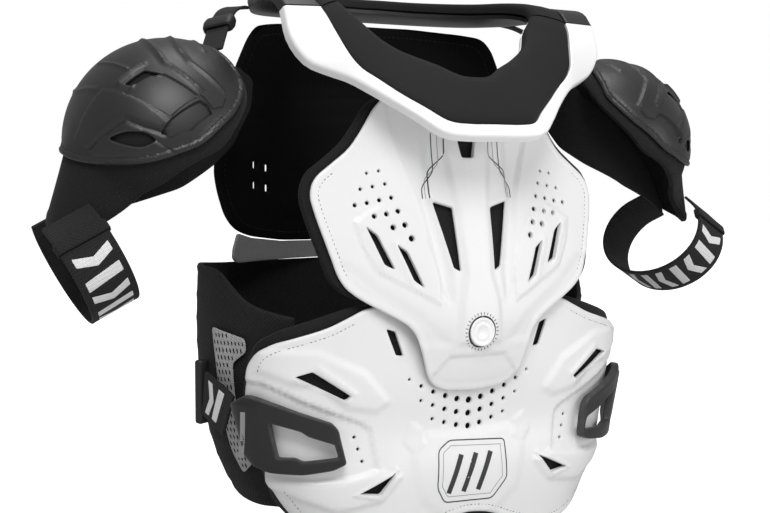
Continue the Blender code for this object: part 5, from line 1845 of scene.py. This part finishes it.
@dataclass(frozen=True)
class YokeSurface(Surface):
    """Upright cloth skin between the chest and the shoulder."""

    depth: tuple = ((130.0, 2.0), (168.0, 0.0), (198.0, -15.0), (220.0, -28.0), (241.0, -35.0),
                    (266.0, -30.0),
                    (336.0, 2.0))

    def place(self, flat: np.ndarray) -> np.ndarray:
        """Give the point on the skin for each x and z."""
        flat = np.asarray(flat, dtype=float)
        return np.stack((flat[:, 0], smooth_rows(self.depth, flat[:, 0]), flat[:, 1]), axis=1)


@dataclass
class ShoulderUnit:
    """Hard cap, pad, inner cloth and webbing of one shoulder."""

    shop: Workshop
    side: Side
    shell_wall: float = 2.4
    pad_lift: float = -3.9
    pad_wall: float = 7.0

    def shell(self) -> Sheet:
        """Lay out the cap with its ribs, recesses and vents."""
        eye = spline(((66.0, -58.0), (58.0, -64.0), (50.0, -73.0), (42.0, -86.0), (41.0, -97.0),
                      (54.0, -90.0),
                      (62.0, -76.0)), 2.0, closed=True)
        bar = rounded(((18.0, -44.0), (-3.0, -47.0), (-11.0, -60.0), (-2.0, -54.0), (16.0, -50.0)), 1.0,
                      1.6)
        return Sheet(polar(SHELL_EDGE), SHOULDER_SURFACE, self.shell_wall, holes=[eye, bar], spacing=2.1,
                     edge_round=1.2, relief=CAP_RELIEF, lip=1.0, lip_place=3.0, groove_place=6.0, groove=0.9)

    def build(self) -> None:
        """Build the whole shoulder."""
        finish, side = self.shop.finish, self.side
        shell = self.shell()
        self.shop.keep(shell.build("shoulder_cap_" + side.label, finish.shell, side), "shell_plastic",
                       ["shoulder_shell_" + side.label])
        pad = Sheet(polar(SHOULDER_PAD_EDGE, 4.0), SHOULDER_SURFACE, self.pad_wall, lift=self.pad_lift,
                    spacing=5.0,
                    edge_round=3.2, lip=0.7, lip_place=7.0, groove_place=12.0)
        self.shop.keep(pad.build("shoulder_cushion_" + side.label, finish.liner, side), "black_fabric",
                       ["shoulder_pad_" + side.label], 0.8)
        rows = []
        for sheet, inset in ((shell, 6.0), (pad, 12.0)):
            line = offset_line(sheet.outline, inset)
            rows.append(sheet.on(np.vstack((line, line[:1])), 0.1))
        seam = self.shop.repeats.stitches("shoulder_seams_" + side.label, rows, finish.black_thread, side,
                                          spacing=4.4, length=2.8, thickness=0.9)
        self.shop.keep(seam, "black_fabric")
        yoke = Sheet(rounded(YOKE_OUTLINE, 6.0, 3.5), YokeSurface(), 3.0, spacing=6.0, edge_round=1.2)
        self.shop.keep(yoke.build("shoulder_yoke_" + side.label, finish.liner, side), "black_fabric")
        self.webbing()
        self.arm_band()

    def webbing(self) -> None:
        """Build the webbing from the nape to the shoulder, with its slide buckle."""
        finish, side = self.shop.finish, self.side
        surface = BandSurface(path=SHOULDER_STRAP_PATH, axis=(0.5, 0.85, 0.0), turn=-1.0)
        strap = Strap(self.shop, "shoulder_webbing", surface, 22.0, 2.4)
        strap.build(finish.webbing, ["shoulder_strap_" + side.label], side)
        length, points, across, normal = surface.frames()
        index = int(np.searchsorted(length, 0.42 * length[-1]))
        run = unit_rows(points[index + 1] - points[index])
        place = (points[index], run, across[index], normal[index])
        thing = frame_loop("strap_slide_" + side.label, place, (23.0, 5.0, 16.0, 3.4), finish.black, side,
                           0.2)
        self.shop.keep(thing, "black_plastic", ["strap_slider_" + side.label])

    def arm_band(self) -> None:
        """Build the printed arm band with its keeper."""
        finish, side = self.shop.finish, self.side
        axis = unit_rows(np.array(ARM_STRAP_AXIS))
        forward = unit_rows(np.cross(axis, (0.0, 0.0, 1.0)))
        upward = np.cross(forward, axis)
        turns = np.radians(np.linspace(ARM_BAND_START, ARM_BAND_END, ARM_BAND_POINTS))
        path = tuple(tuple(np.array(ARM_BAND_CENTRE) + forward * ARM_BAND_REACH * math.sin(turn)
                           + upward * ARM_BAND_DROP * math.cos(turn)) for turn in turns)
        surface = BandSurface(path=path, axis=ARM_STRAP_AXIS)
        strap = Strap(self.shop, "arm_elastic", surface, 45.0, 2.6)
        middle = surface.place(np.array([(surface.length / 2.0, 0.0)]))
        outward = float((surface.normal(np.array([(surface.length / 2.0,
                                                   0.0)])) @ (middle[0] - ARM_BAND_CENTRE))[0])
        strap.surface = surface if outward > 0.0 else BandSurface(path=path, axis=ARM_STRAP_AXIS, turn=-1.0)
        sheet = strap.build(finish.webbing, ["arm_strap_" + side.label], side)
        strap.blocks(sheet, 44.0, surface.length - 40.0, side, 18.0)
        length, points, across, normal = surface.frames()
        index = int(np.searchsorted(length, 30.0))
        run = unit_rows(points[index + 1] - points[index])
        place = (points[index], run, across[index], normal[index])
        thing = frame_loop("arm_keeper_loop_" + side.label, place, (46.0, 5.0, 10.0, 1.6), finish.elastic,
                           side)
        self.shop.keep(thing, "black_plastic", ["arm_keeper_" + side.label])


@dataclass(frozen=True)
class Studio:
    """Camera, pale floor and soft light."""

    camera_place: tuple = (-0.6741, -1.1291, -0.1453)
    tilt: float = -3.68
    yaw: float = -30.0
    lens: float = 62.65
    floor_height: float = -0.4925
    floor_half: float = 6.0
    ambient: float = 0.36
    floor_glow: float = 1.0
    floor_tone: float = 0.6
    light_aim: tuple = (0.0, 0.0, -0.2)
    # Name, place, size and power of each light
    lights: tuple = (("key", (-0.9, -1.8, 2.0), 1.4, 52.0), ("fill", (1.4, -2.0, 0.0), 1.4, 14.0),
                     ("top", (0.2, 0.2, 2.2), 1.2, 18.0))

    def build(self) -> None:
        """Set everything up."""
        scene = bpy.context.scene
        camera = bpy.data.cameras.new("camera")
        camera.lens = self.lens
        camera.sensor_width = 36.0
        thing = bpy.data.objects.new("camera", camera)
        thing.location = self.camera_place
        thing.rotation_euler = (math.radians(90.0 + self.tilt), 0.0, math.radians(self.yaw))
        scene.collection.objects.link(thing)
        scene.camera = thing
        world = bpy.data.worlds.new("studio")
        world.use_nodes = True
        tree = Tree(world.node_tree)
        seen = tree.add("ShaderNodeLightPath").outputs["Is Camera Ray"]
        strength = tree.math("ADD", self.ambient, tree.math("MULTIPLY", seen, 1.0 - self.ambient))
        background = world.node_tree.nodes["Background"]
        background.inputs["Color"].default_value = (1.0, 1.0, 1.0, 1.0)
        tree.link(strength, background.inputs["Strength"])
        scene.world = world
        scene.view_settings.view_transform = "Standard"
        self.floor()
        for light in self.lights:
            self.light(*light)

    def floor(self) -> None:
        """Lay the floor."""
        half = self.floor_half
        mesh = bpy.data.meshes.new("floor")
        corners = [(-half, -half), (half, -half), (half, half), (-half, half)]
        mesh.from_pydata([(x, y, self.floor_height) for x, y in corners], [], [(0, 1, 2, 3)])
        material = bpy.data.materials.new("pale floor")
        material.use_nodes = True
        shader = material.node_tree.nodes["Principled BSDF"]
        shader.inputs["Base Color"].default_value = (*grey(self.floor_tone), 1.0)
        shader.inputs["Roughness"].default_value = 0.8
        tree = Tree(material.node_tree)
        seen = tree.add("ShaderNodeLightPath").outputs["Is Camera Ray"]
        shader.inputs["Emission Color"].default_value = (1.0, 1.0, 1.0, 1.0)
        tree.link(tree.math("MULTIPLY", seen, self.floor_glow),
                            shader.inputs["Emission Strength"])
        mesh.materials.append(material)
        thing = bpy.data.objects.new("floor", mesh)
        bpy.context.scene.collection.objects.link(thing)

    def light(self, name: str, place: tuple, size: float, power: float) -> None:
        """Hang one soft light that looks at the vest.

        Args:
            name: name of the light.
            place: its place in metres.
            size: side of its square in metres.
            power: its power in watts.
        """
        data = bpy.data.lights.new(name, "AREA")
        data.size = size
        data.energy = power
        thing = bpy.data.objects.new(name, data)
        thing.location = place
        aim = Vector(self.light_aim) - Vector(place)
        thing.rotation_euler = aim.to_track_quat("-Z", "Y").to_euler()
        bpy.context.scene.collection.objects.link(thing)


def main() -> None:
    """Build the vest in order."""
    logging.basicConfig(level=logging.INFO, format="%(message)s")
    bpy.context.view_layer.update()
    shop = Workshop(Finishes(ShaderGroups()), Repeats())
    units = [ChestUnit(shop), BellyUnit(shop), CollarUnit(shop), BackUnit(shop), WaistBelt(shop)]
    for side in Side:
        units += [WaistFastening(shop, side), ShoulderUnit(shop, side)]
    for unit in units:
        unit.build()
        LOG.info("built %s", type(unit).__name__)
    Studio().build()
    LOG.info("%d pieces", len(shop.made))


if __name__ == "__main__":
    main()
